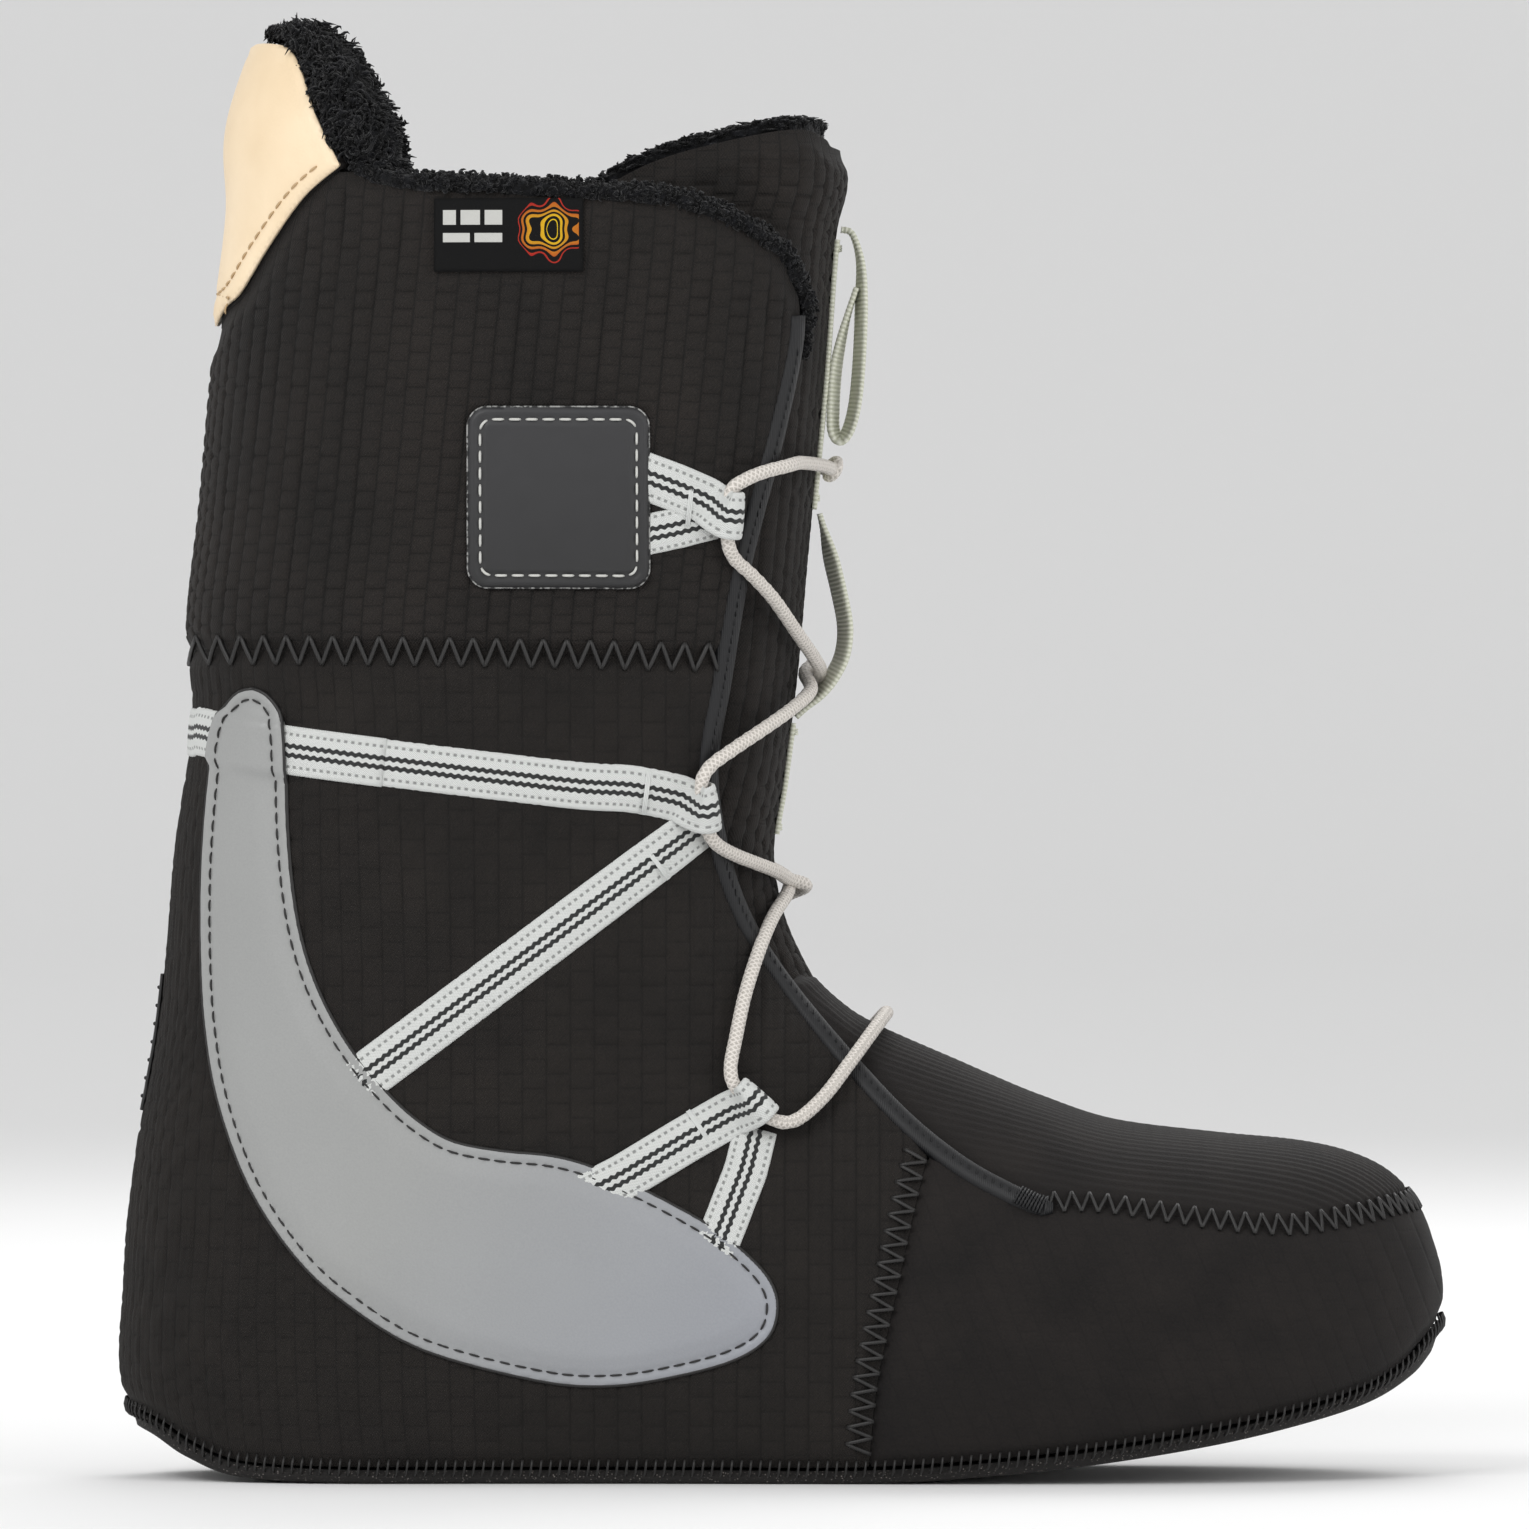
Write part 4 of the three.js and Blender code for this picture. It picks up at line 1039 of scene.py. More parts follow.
pile_stuff, shader, start = finish("curly_pile", 0.95, sheen=0.12, shine=0.2)
curls = start.make("ShaderNodeTexVoronoi", {"Vector": start, "Scale": 420.0}, out="Distance")
fuzz = grain(start, 1500.0, 4.0)
feed(shader, "Base Color", (fuzz * 0.7 + (0.5 - curls) * 0.5).between(0.25, 0.65).mix(
    (*srgb(4, 4, 5), 1), (*srgb(25, 26, 30), 1)))
bumped(shader, (0.5 - curls) + fuzz, 0.8, 0.0008)


def clumps(points, size, height):
    """A soft irregular lumpiness over places, for pile that lies in curls."""
    x, y, z = (points[:, k] / size for k in range(3))
    rough = (np.sin(x * 2.1 + 1.3 * np.sin(y * 1.7)) * np.sin(y * 2.3 + 1.1 * np.sin(z * 1.9))
             + np.sin(z * 2.2 + 1.7 * np.sin(x * 2.4)) * np.sin(x * 1.1 + y * 2.9)
             + 0.6 * np.sin(x * 5.1 + z * 4.7) * np.sin(y * 5.3 - z * 3.9))
    return height * rough / 2


def tuft(bag, root, face, length, rng, width=0.42):
    """One curled lock of fibres: a tapering three-sided spiral standing on the pile."""
    lean = np.array([rng.uniform(-1, 1) for _ in range(3)])
    lean -= face * (lean @ face)
    size = np.linalg.norm(lean)
    lean = lean / size if size > 1e-6 else np.array([1.0, 0, 0])
    side = np.cross(face, lean)
    curl = rng.uniform(0.9, 1.7)
    phase = rng.uniform(0, 6.28)
    line = []
    for k in range(6):
        f = k / 5
        swirl = curl * f * length * 0.32
        line.append(root + face * (length * (f - 0.35 * f * f))
                    + lean * (f * f * length * 0.5 + swirl * math.cos(phase + 5 * f))
                    + side * (swirl * math.sin(phase + 5 * f)))
    bag.put(*swept(line, [width, width * 1.25, width * 1.1, width * 0.9, width * 0.6,
                          width * 0.15], 3))


def tufts_over(bag, points, facing, count, length, seed):
    """Seeded locks scattered over a set of surface places."""
    rng = random.Random(seed)
    for _ in range(count):
        k = rng.randrange(len(points))
        nudge = np.array([rng.uniform(-0.5, 0.5) for _ in range(3)])
        tuft(bag, points[k] + nudge - facing[k] * 0.4, facing[k],
             length * rng.uniform(0.65, 1.25), rng)


LINED = joined(TAB_EDGE, COLLAR[1:], FRONT_EDGE[1:56], [(10, 104), (60, 110), (160, 110)],
               [(160, 30)], ABOVE_SOLE[::-1], [(-160, 20), (-160, 245)])
sheet = last_sheet((1.4, 23.0), (-math.pi, math.pi), 2.4, out=-6.4)
x, y, z = (sheet.points[..., k] for k in range(3))
room = depth_in(x, z, joined([(-60, 400), (-60, 200), (-42, 165), (-37, 134), (-29, 112),
                              (-14.4, 97.4), (5.7, 112.8), (20, 124), (60, 150), (60, 400)]))
room = np.minimum(room, tongue_half(z) + 0.6 - np.abs(y))
cut = Cut(sheet, np.minimum(depth_in(x, z, LINED), -room))
cut.turn_in()
lining = shell("fleece_lining_visual", cut, 1.6 + clumps(cut.points, 3.0, 0.6), 0.1, pile_stuff)
faces_out(lining)
stands_for(lining, "fleece_lining")


# ---- Heel tab: thin foam flap above the heel, faced in cream leather, with a pile hump. ----
# It is sewn to both cuffs along its lower edge.

TAB_TOP = spline([(-96.5, 287.8), (-102, 299), (-106.6, 312), (-112, 315.4), (-126, 316.2)])
HUMP_TOP = spline([(-84.2, 284.6), (-86.8, 297), (-90.8, 305.6), (-96, 313.5), (-102.6, 319.4),
                   (-107.9, 320.8), (-116.5, 319.4), (-126, 319)])
tab_outline = joined(TAB_EDGE, TAB_TOP[1:], [(-150, 316.2), (-150, 245)])


def tab_bends(piece, *nodes, fill=None):
    if nodes:
        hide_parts(*nodes)
    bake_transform(piece)


sheet = last_sheet((0.2, 4.2), (math.pi * 0.5, math.pi * 1.5), 1.2)
field = depth_in(sheet.points[..., 0], sheet.points[..., 2], tab_outline)
cut = Cut(sheet, field)
tab_foam = shell("heel_tab_foam_visual", cut, -0.15 - 0.5 * (1 - step_up(cut.depth, 0, 2)), 5.4,
                 brushed)
tab_bends(tab_foam, "heel_tab_foam", fill=0.5)

leather, shader, start = finish("cream_leather", 0.55, coat=0.06)
pores = start.make("ShaderNodeTexVoronoi", {"Vector": start, "Scale": 1400.0}, out="Distance")
cloud = grain(start, 38.0, 3.0)
feed(shader, "Base Color", cloud.between(0.3, 0.7).mix((*srgb(228, 204, 168), 1),
                                                       (*srgb(240, 219, 187), 1)))
feed(shader, "Roughness", cloud * 0.2 + 0.45)
bumped(shader, pores + cloud * 0.5, 0.14, 0.0003)

cut = Cut(sheet, field - 0.15)
face_lift = 1.55 - 0.75 * (1 - step_up(cut.depth, 0, 1.1)) - 0.25 * (
    1 - step_up(np.abs(cut.depth - 3.0), 0.2, 1.2))
patch = shell("heel_pull_patch_visual", cut, face_lift, -0.1, leather)
tab_bends(patch, "heel_pull_patch")

cream_thread, shader, start = finish("cream_thread", 0.6)
twist = start.make("ShaderNodeTexWave", {"Vector": start, "Scale": 1300.0}, out="Fac")
feed(shader, "Base Color", twist.mix((*srgb(150, 120, 82), 1), (*srgb(205, 178, 138), 1)))


def stitches(bag, points, faces, long, gap, radius, rise, sides=6):
    """A row of lockstitches along a laid path: short threads that dip in at both ends."""
    length = np.concatenate([[0], np.cumsum(np.linalg.norm(np.diff(points, axis=0), axis=1))])
    at = gap
    while at + long < length[-1]:
        spots = at + np.linspace(0, long, 6)
        line = np.column_stack([np.interp(spots, length, points[:, k]) for k in range(3)])
        face = np.column_stack([np.interp(spots, length, faces[:, k]) for k in range(3)])
        arch = np.array([-0.5, 0.55, 1, 1, 0.55, -0.5])[:, None]
        line = line + face * (rise * arch)
        bag.put(*swept(line, [radius * 0.7, radius, radius, radius, radius, radius * 0.7], sides))
        at += long + gap


tab_stitch = Bag()
for name, side in SIDES:
    line = beside(TAB_EDGE, 2.9)[5:-3]
    points, faces = side_run(line, side, 1.0, 1.42)
    stitches(tab_stitch, points, faces, 2.3, 0.9, 0.26, 0.2)
tab_bends(tab_stitch.piece("heel_patch_stitching", cream_thread))


# The pile behind the heel tab and over its top: a soft hump with locks standing out of it.
sheet = last_sheet((0.0, 4.2), (math.pi * 0.42, math.pi * 1.58), 1.3, out=-3.0)
hidden = joined(TAB_EDGE + [0.6, 0.2], HUMP_TOP, [(-160, 319), (-160, 240)])
cut = Cut(sheet, depth_in(sheet.points[..., 0], sheet.points[..., 2], hidden))
above_tab = joined(HUMP_TOP, [(-160, 319), (-160, 316.6)], TAB_TOP[::-1] + [0.6, 0.6])
over = step_up(depth_in(cut.points[:, 0], cut.points[:, 2], above_tab), -0.4, 1.2)
soft = step_up(cut.depth, 0, 4.5)
outer_lift = -3.4 + over * (2.2 + 4.2 * soft) + clumps(cut.points, 3.2, 1.3) * over
inner_lift = 5.6 + 2.6 * soft + clumps(cut.points + 40, 3.2, 1.1)
outer = cut.points + cut.facing * outer_lift[:, None]
inner = cut.points - cut.facing * inner_lift[:, None]
fleece = Bag()
fleece.put(*walled(outer, inner, cut.faces))
shown = over > 0.6
tufts_over(fleece, outer[shown], cut.facing[shown], 2100, 2.3, 5)
rim = shown & (cut.depth < 2.2)
tufts_over(fleece, (outer[rim] + inner[rim]) / 2, np.tile([0.35, 0, 0.94], (int(rim.sum()), 1)),
           1300, 3.0, 6)
high = cut.points[:, 2] > 268
tufts_over(fleece, inner[high], -cut.facing[high], 2800, 2.2, 7)
heel_fleece = fleece.piece("heel_fleece_visual", pile_stuff)
tab_bends(heel_fleece, "heel_fleece", fill=0.3)


# ---- Collar trim: a roll of the same pile along the top and the upper front of each cuff. ----
# The lining is turned out over the foam edge; a swept roll carries the locks.

ROLL_SIDES = 14
ROLL_ACROSS = 2.7
ROLL_UP = 2.2

for name, side in SIDES:
    line = joined(COLLAR[2:], FRONT_EDGE[1:17])
    line = beside(line, 0.9)
    rolled = even_run(line, 1.6)
    centre, faces = [], []
    for x, z in rolled:
        place, face = side_place(x, min(z, 290), side)
        centre.append([x, place[1] - side * 2.4, z])
        faces.append([0.0, float(side), 0.0])
    centre, faces = np.array(centre), np.array(faces)
    turn = 2 * math.pi * np.arange(ROLL_SIDES) / ROLL_SIDES
    way = np.gradient(centre, axis=0)
    way /= np.linalg.norm(way, axis=1)[:, None]
    up = np.cross(way, faces) * -1.0
    up = np.where((up[:, 2:3] < 0) & (np.abs(up[:, 2:3]) > 0.3), -up, up)
    thin = np.interp(np.arange(len(centre)), [0, 3, len(centre) - 12, len(centre) - 1],
                     [0.6, 1, 1, 0.35])
    rings = (centre[:, None] + faces[:, None] * (np.cos(turn)[None, :, None] * ROLL_ACROSS
                                                 * thin[:, None, None])
             + up[:, None] * (np.sin(turn)[None, :, None] * ROLL_UP * thin[:, None, None]))
    flat = rings.reshape(-1, 3)
    away = flat - np.repeat(centre, ROLL_SIDES, axis=0)
    away /= np.linalg.norm(away, axis=1)[:, None]
    flat = flat + away * clumps(flat, 2.8, 0.7)[:, None]
    trim = Bag()
    trim.put(flat, tube_faces(len(centre), ROLL_SIDES))
    upper = away[:, 2] > -0.5
    tufts_over(trim, flat[upper], away[upper], 2800, 1.15, 21 + side)
    piece = trim.piece(f"collar_fleece_{name}_visual", pile_stuff)
    stands_for(piece, f"collar_fleece_{name}")


# The tongue's fleece lining: it shows above the tongue's top edge and inside the leg.
PILE_TOP = beside(TONGUE_TOP, -1.9)
sheet = tongue_sheet((0.2, 8.0), 1.6, inset=4.8)
cut = Cut(sheet, depth_in(sheet.points[..., 0], sheet.points[..., 2],
                          joined(PILE_TOP, [(-70, 50), (60, 50)])))
cut.turn_in()
soft = step_up(cut.depth, 0, 3)
lift = 1.4 + 1.6 * soft + clumps(cut.points, 3.0, 0.8)
inner = cut.points + cut.facing * lift[:, None]
fleece = Bag()
fleece.put(*walled(inner, cut.points, cut.faces))
edge = (cut.depth < 2.4) & (cut.points[:, 2] > 262)
tufts_over(fleece, (inner[edge] + cut.points[edge]) / 2,
           np.tile([0.0, 0, 1.0], (int(edge.sum()), 1)), 3000, 2.0, 31)
high = cut.points[:, 2] > 255
tufts_over(fleece, inner[high], cut.facing[high], 3100, 2.0, 32)
tongue_fleece = fleece.piece("tongue_fleece_visual", pile_stuff)
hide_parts("tongue_fleece")
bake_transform(tongue_fleece)


# ---- Ankle patches: large crescents of smooth coated film on thin foam, over the heel and foot. --
# The edge is pressed thin and proud, with one row of dark lockstitches just inside it.

CRESCENT = spline([
    (-115.9, 173.8), (-112.8, 172.3), (-109.7, 167.9), (-108.7, 161.5), (-108.4, 144.5),
    (-107.1, 128.7), (-104.6, 116.2), (-100.2, 104.7), (-93.8, 93.9), (-85.7, 84.5),
    (-79.2, 78.8), (-72.1, 74.8), (-61.6, 72.8), (-52, 71.9), (-44, 70), (-34.4, 66),
    (-24.8, 61.2), (-15.3, 55.7), (-8, 49.9), (-3.2, 44.4), (-1.6, 38.7), (-3.6, 32.3),
    (-10.7, 27.5), (-23.2, 24), (-38, 21.8), (-53.5, 22.9), (-79.1, 29.7), (-95.8, 39.8),
    (-106.8, 49.9), (-116.9, 65.1), (-123.7, 83.6), (-126.6, 100.3), (-127.5, 116.2),
    (-127.5, 131.8), (-126.6, 147), (-124.9, 161.5), (-122.9, 168.5), (-119.4, 172.9),
    (-115.9, 173.8)], steps=4)

film, shader, start = finish("crescent_film", 0.42, coat=0.08)
specks = grain(start, 2200.0, 2.0)
cloud = grain(start, 22.0, 2.0)
spot_x = start.make("ShaderNodeSeparateXYZ", {"Vector": start}, out="X")
spot_z = start.make("ShaderNodeSeparateXYZ", {"Vector": start}, out="Z")
low_right = (spot_x * 9.0 - spot_z * 5.0 + 1.1).between(0.0, 1.1)
base = low_right.mix((*srgb(150, 151, 150), 1), (*srgb(143, 146, 154), 1))
tone = specks.between(0.2, 0.8) * 0.5 + cloud.between(0.2, 0.8) * 0.5
shade = tone.mix((0.88, 0.88, 0.88, 1), (1.06, 1.06, 1.06, 1))
colour = start.make("ShaderNodeMix", {"Factor": 1.0, "A": base, "B": shade}, out="Result",
                    data_type="RGBA", blend_type="MULTIPLY")
feed(shader, "Base Color", colour)
bumped(shader, specks, 0.12, 0.0002)

STRAP_LINE = spline([(-150, 167.4), (-130.8, 165), (-108.6, 160.4), (-49.4, 153.1),
                     (-32.7, 151.8), (-17, 148.4)])
STRAP_UP = 1.5


def over_strap(x, z):
    """Lifts a patch by the thickness of the webbing where it crosses the heel strap."""
    line_z = np.interp(x, STRAP_LINE[:, 0], STRAP_LINE[:, 1])
    return STRAP_UP * (1 - step_up(np.abs(z - line_z), 4.6, 7.6))


for name, side in SIDES:
    angles = (-math.pi, 0.0) if side < 0 else (0.0, math.pi)
    sheet = last_sheet((5.2, 16.4), angles, 1.0)
    field = depth_in(sheet.points[..., 0], sheet.points[..., 2], CRESCENT)
    cut = Cut(sheet, field)
    rim = 1 - step_up(cut.depth, 0, 0.7)
    groove = 1 - step_up(np.abs(cut.depth - 2.2), 0.1, 0.9)
    puff = step_up(cut.depth, 2.2, 7.0)
    bed = over_strap(cut.points[:, 0], cut.points[:, 2])
    lift = 1.25 + bed + 0.75 * puff - 0.45 * groove - 0.35 * rim
    patch = shell(f"ankle_patch_{name}_visual", cut, lift, -0.1, film)
    stands_for(patch, f"ankle_patch_{name}")
    way = np.gradient(CRESCENT, axis=0)
    way /= np.maximum(np.linalg.norm(way, axis=1), 1e-9)[:, None]
    turned = np.column_stack([way[:, 1], -way[:, 0]])
    points, faces = side_run(CRESCENT + turned * 2.2, side, 1.2, 0.95)
    points = points + faces * over_strap(points[:, 0], points[:, 2])[:, None]
    sewn = Bag()
    stitches(sewn, points, faces, 2.5, 1.0, 0.24, 0.2)
    stands_for(sewn.piece(f"ankle_stitching_{name}", thread))
    edge = Bag()
    points, faces = side_run(CRESCENT, side, 1.6, 0.6)
    points = points + faces * over_strap(points[:, 0], points[:, 2])[:, None] * 0.8
    edge.put(*swept(points, 0.5, 6))
    stands_for(edge.piece(f"ankle_edge_{name}", thread))


# ---- Cuff patches: moulded dark grey rubber squares with round corners and a raised rim. ----
# White lockstitches run in a shallow channel; each holds down the cuff's webbing loop.

rubber, shader, start = finish("grey_rubber", 0.5)
mottle = grain(start, 260.0, 3.0)
spot_z = start.make("ShaderNodeSeparateXYZ", {"Vector": start}, out="Z")
# Painted highlight: the rubber is painted lighter towards the top of each patch, as if lit from above.
shine = (spot_z * 26.0 - 5.05).between(0.0, 1.0)
feed(shader, "Base Color", (mottle * 0.4 + shine * 0.6).between(0.1, 0.9).mix(
    (*srgb(26, 26, 27), 1), (*srgb(42, 42, 44), 1)))
feed(shader, "Roughness", mottle * 0.2 + 0.4)
bumped(shader, mottle, 0.1, 0.0003)

white_thread, shader, start = finish("white_thread", 0.6)
twist = start.make("ShaderNodeTexWave", {"Vector": start, "Scale": 1300.0}, out="Fac")
feed(shader, "Base Color", twist.mix((*srgb(165, 165, 160), 1), (*srgb(214, 214, 210), 1)))

pale_edge, shader, start = finish("cut_rubber_edge", 0.8)
chips = grain(start, 900.0, 2.0)
feed(shader, "Base Color", chips.between(0.45, 0.6).mix((*srgb(40, 40, 40), 1),
                                                        (*srgb(150, 150, 148), 1)))

SQUARE = np.array([-49.3, 215.4])


def rounded(half, corner, count=10):
    """A rounded square outline round the patch centre."""
    loop = []
    for quarter in range(4):
        middle = (half - corner) * np.array([[1, 1], [-1, 1], [-1, -1], [1, -1]][quarter])
        for k in range(count + 1):
            angle = math.pi / 2 * (quarter + k / count)
            loop.append(SQUARE + middle + corner * np.array([math.cos(angle), math.sin(angle)]))
    return np.array(loop)


for name, side in SIDES:
    angles = (-math.pi * 0.8, -math.pi * 0.2) if side < 0 else (math.pi * 0.2, math.pi * 0.8)
    sheet = last_sheet((3.2, 5.0), angles, 0.5)
    cut = Cut(sheet, depth_in(sheet.points[..., 0], sheet.points[..., 2], rounded(19.5, 4.2)))
    rim = step_up(cut.depth, 0, 0.8)
    channel = (step_up(cut.depth, 1.5, 2.0) - step_up(cut.depth, 3.2, 3.7))
    lift = 1.5 + 0.7 * rim - 0.45 * channel - 0.12 * step_up(cut.depth, 3.4, 4.4)
    patch = shell(f"cuff_patch_{name}_visual", cut, lift, -0.1, rubber)
    stands_for(patch, f"cuff_patch_{name}")
    points, faces = side_run(joined(rounded(19.6, 4.3), rounded(19.6, 4.3)[:1]), side, 0.8, 1.2)
    pale = Bag()
    pale.put(*swept(points, 0.28, 6))
    stands_for(pale.piece(f"cuff_patch_edge_{name}", pale_edge))
    loop = rounded(16.9, 2.6)
    points, faces = side_run(joined(loop, loop[:1]), side, 0.6, 1.85)
    sewn = Bag()
    stitches(sewn, points, faces, 2.5, 1.15, 0.3, 0.24)
    stands_for(sewn.piece(f"cuff_patch_stitching_{name}", white_thread))


# ---- Webbing: white polyester tape with two wavy black lines, sewn along both edges. ----
# One strap runs round the heel; two loops a side are folded back on themselves for the lace.

webbing, shader, start = finish("white_webbing", 0.72, sheen=0.1)
across, along = weave_lines(start)
weft = (along * (2 * math.pi / 0.55)).sin()
warp = (across * (2 * math.pi / 0.42)).sin()
ripple = (along * (2 * math.pi / 1.7)).sin() * 0.18
line = ((across + ripple).absolute() - 1.0).absolute()
ink = 1.0 - line.between(0.44, 0.56)
dots = (along * 0.62).fraction()
dot = (dots - 0.5).absolute().between(0.18, 0.3)
hole = (1.0 - (across.absolute() - 3.55).absolute().between(0.2, 0.42)) * (1.0 - dot)
cloth = (weft * warp * 0.5 + 0.5).mix((*srgb(206, 208, 206), 1), (*srgb(230, 232, 229), 1))
inked = ink.mix(cloth, (*srgb(33, 35, 35), 1))
feed(shader, "Base Color", (hole * 0.7).mix(inked, (*srgb(96, 98, 96), 1)))
bumped(shader, weft * warp - hole * 1.6, 0.55, 0.0004)

WEB_HALF = 5.25
WEB = [(-1, 0.0), (-1.02, 0.35), (-0.97, 0.72), (-0.8, 0.9), (-0.72, 0.78), (-0.64, 0.92),
       (-0.3, 0.98), (0.3, 0.98), (0.64, 0.92), (0.72, 0.78), (0.8, 0.9), (0.97, 0.72),
       (1.02, 0.35), (1, 0.0)]


def web_strip(bag, points, faces, half=WEB_HALF, out=0.3):
    bag.put(*ribbon_sweep(points, faces, half, WEB, out))


def bar_tack(bag, centre, face, across, half=4.9, rise=1.35):
    """A short dense row of thread across the webbing."""
    for k in range(3):
        way = np.cross(across, face)
        spot = centre + way * (k - 1) * 0.35
        rows, grid, _ = swept([spot - across * half + face * (rise - 0.3), spot + face * rise,
                               spot + across * half + face * (rise - 0.3)], 0.2, 5)
        bag.put(rows, grid, [(2.6, 0.4)] * len(rows))


def wrapped(bag, curve, side, middle, along, up, half=WEB_HALF, out=0.3):
    """A leg of webbing that lies on the cloth, then turns over and round the lace."""
    up = up - along * (up @ along)
    up /= np.linalg.norm(up)
    ahead = np.cross(along, up)
    if ahead[0] < 0:
        ahead = -ahead
    radius = 2.7
    points, faces = side_run(curve, side, 1.5, out)
    clear = (points - middle) @ ahead < -2.6
    points, faces = points[clear], faces[clear]
    turns = np.linspace(-0.75, 2.9, 18)
    ring = middle + radius * (ahead * np.sin(turns)[:, None] + up * np.cos(turns)[:, None])
    radial = ahead * np.sin(turns)[:, None] + up * np.cos(turns)[:, None]
    path = np.concatenate([points, ring])
    normals = np.concatenate([faces, radial])
    fine = even_run(np.concatenate([path, normals], axis=1), 0.7)
    path, normals = fine[:, :3], fine[:, 3:]
    for _ in range(4):
        inside = path[1:-1]
        path[1:-1] = 0.5 * inside + 0.25 * (path[:-2] + path[2:])
        normals[1:-1] = 0.5 * normals[1:-1] + 0.25 * (normals[:-2] + normals[2:])
    normals /= np.linalg.norm(normals, axis=1)[:, None]
    web_strip(bag, path, normals, half, -0.3)


# Tunnel places: middle of the bore on the outer side, and the way the lace runs through it.
BORES = {
    "cuff": ((-12, -48.2, 211.5), (-0.07, 0.09, -0.99)),
    "heel": ((-17.4, -39.8, 147.6), (0.15, 0.26, -0.95)),
    "forefoot": ((-6.8, -39.1, 83.4), (0.75, 0.02, -0.66)),
}


def bore(which, side):
    middle, along = (np.array(v, float) for v in BORES[which])
    if side > 0:
        middle[1], along[1] = -middle[1], -along[1]
    along /= np.linalg.norm(along)
    _, face = hugged(middle)
    return middle, along, face


def leg(bag, curve, side, half=WEB_HALF, out=0.3, gap=2.0):
    points, faces = side_run(curve, side, gap, 0.0)
    web_strip(bag, points, faces, half, out)
    return points, faces


for name, side in SIDES:
    loop = Bag()
    leg(loop, [(-31.6, 207.0), (-24, 208.6), (-15.6, 210.8)], side, 4.4, 0.3)
    wrapped(loop, [(-31.6, 220.4), (-24, 217.6), (-10, 211.6)], side, *bore("cuff", side), 5.1, 0.9)
    place, face = side_place(-21.0, 214.4, side)
    bar_tack(loop, place, face, np.array([0.1, 0, 0.99]), 5.4, 1.7)
    piece = loop.piece(f"cuff_loop_{name}_visual", webbing)
    stands_for(piece, f"cuff_loop_{name}")

    strap = Bag()
    leg(strap, [(-98.5, 84.0), (-89.9, 90.2), (-55, 116.4), (-19.2, 143.4)], side, out=0.1)
    piece = strap.piece(f"instep_strap_{name}_visual", webbing)
    stands_for(piece, f"instep_strap_{name}")

    loop = Bag()
    leg(loop, [(-17.6, 46.0), (-13.7, 55.2), (-8.5, 68.5), (-6.4, 77.4)], side, 4.7, 0.2)
    wrapped(loop, [(-44.5, 62.4), (-35.5, 66.9), (-22, 75.0), (-5, 84.6)], side,
            *bore("forefoot", side), 5.0, 0.7)
    place, face = side_place(-18.6, 77.4, side)
    bar_tack(loop, place, face, np.array([-0.56, 0, 0.83]), 4.9, 1.5)
    piece = loop.piece(f"forefoot_loop_{name}_visual", webbing)
    stands_for(piece, f"forefoot_loop_{name}")

strap = Bag()
outer_points, outer_faces = side_run(STRAP_LINE[9:20], -1, 2.0, 0.0)
inner_points, inner_faces = side_run(STRAP_LINE[9:20], 1, 2.0, 0.0)
behind_heel = []
for share in np.linspace(0, 1, 26)[1:-1]:
    guess = outer_points[0] * (1 - share) + inner_points[0] * share
    guess[0] = -142 + 16 * abs(share - 0.5)
    guess[2] = 165.4 - 2.0 * abs(share - 0.5)
    behind_heel.append(guess)
back_points, back_faces = run_on(behind_heel, 0.0)
points = np.concatenate([outer_points[::-1], back_points, inner_points])
faces = np.concatenate([outer_faces[::-1], back_faces, inner_faces])
web_strip(strap, points, faces)
for name, side in SIDES:
    wrapped(strap, STRAP_LINE[19:], side, *bore("heel", side), 5.1, 0.34)
    place, face = side_place(-30.5, 151.4, side)
    bar_tack(strap, place, face, np.array([0.12, 0, 0.99]), 4.9, 1.5)
    place, face = side_place(-28.6, 136.2, side)
    bar_tack(strap, place, face, np.array([-0.6, 0, 0.8]), 4.9, 1.5)
piece = strap.piece("heel_strap_visual", webbing)
stands_for(piece, "heel_strap")


# ---- Label: a small woven damask tag sewn flat on the outer cuff below the collar. ----
# It carries plain bars of light thread and wavy warm lines, and says nothing.

label_stuff, shader, start = finish("woven_label", 0.7, shine=0.15)
across, along = weave_lines(start)
thread_x = (across * (2 * math.pi / 0.34)).sin()
thread_z = (along * (2 * math.pi / 0.34)).sin()
ground = (thread_x * thread_z * 0.5 + 0.5).mix((*srgb(5, 5, 5), 1), (*srgb(14, 14, 15), 1))


def bar(left, right, low, high):
    """1 inside a rectangle of the weave map."""
    inside = across.above(left) * (1.0 - across.above(right))
    return inside * along.above(low) * (1.0 - along.above(high))


bars = bar(-14.2, -11.4, 2.2, 5.4) + bar(-10.4, -6.2, 2.2, 5.4) + bar(-5.2, -1.4, 2.2, 5.4)
bars = bars + bar(-14.2, -8.4, -1.6, 0.4) + bar(-7.4, -1.4, -1.6, 0.4)
reach = ((across - 9.0) * (across - 9.0) + (along - 1.2) * (along - 1.2) * 1.4).maths(
    "POWER", 0.5)
wobble = reach + (across * 1.1).sin() * 0.7 + (along * 1.3).sin() * 0.5
rings = (wobble * 0.62).fraction().above(0.5)
rings = rings * (1.0 - wobble.above(7.6)) * wobble.above(1.4)
rings = rings * (1.0 - across.above(15.2)) * across.above(2.0)
warm = wobble.between(1.5, 7.5).mix((*srgb(214, 178, 30), 1), (*srgb(160, 36, 30), 1))
lit = bars.mix(ground, (*srgb(188, 188, 184), 1))
feed(shader, "Base Color", rings.mix(lit, warm))
bumped(shader, thread_x * thread_z + bars, 0.3, 0.0002)

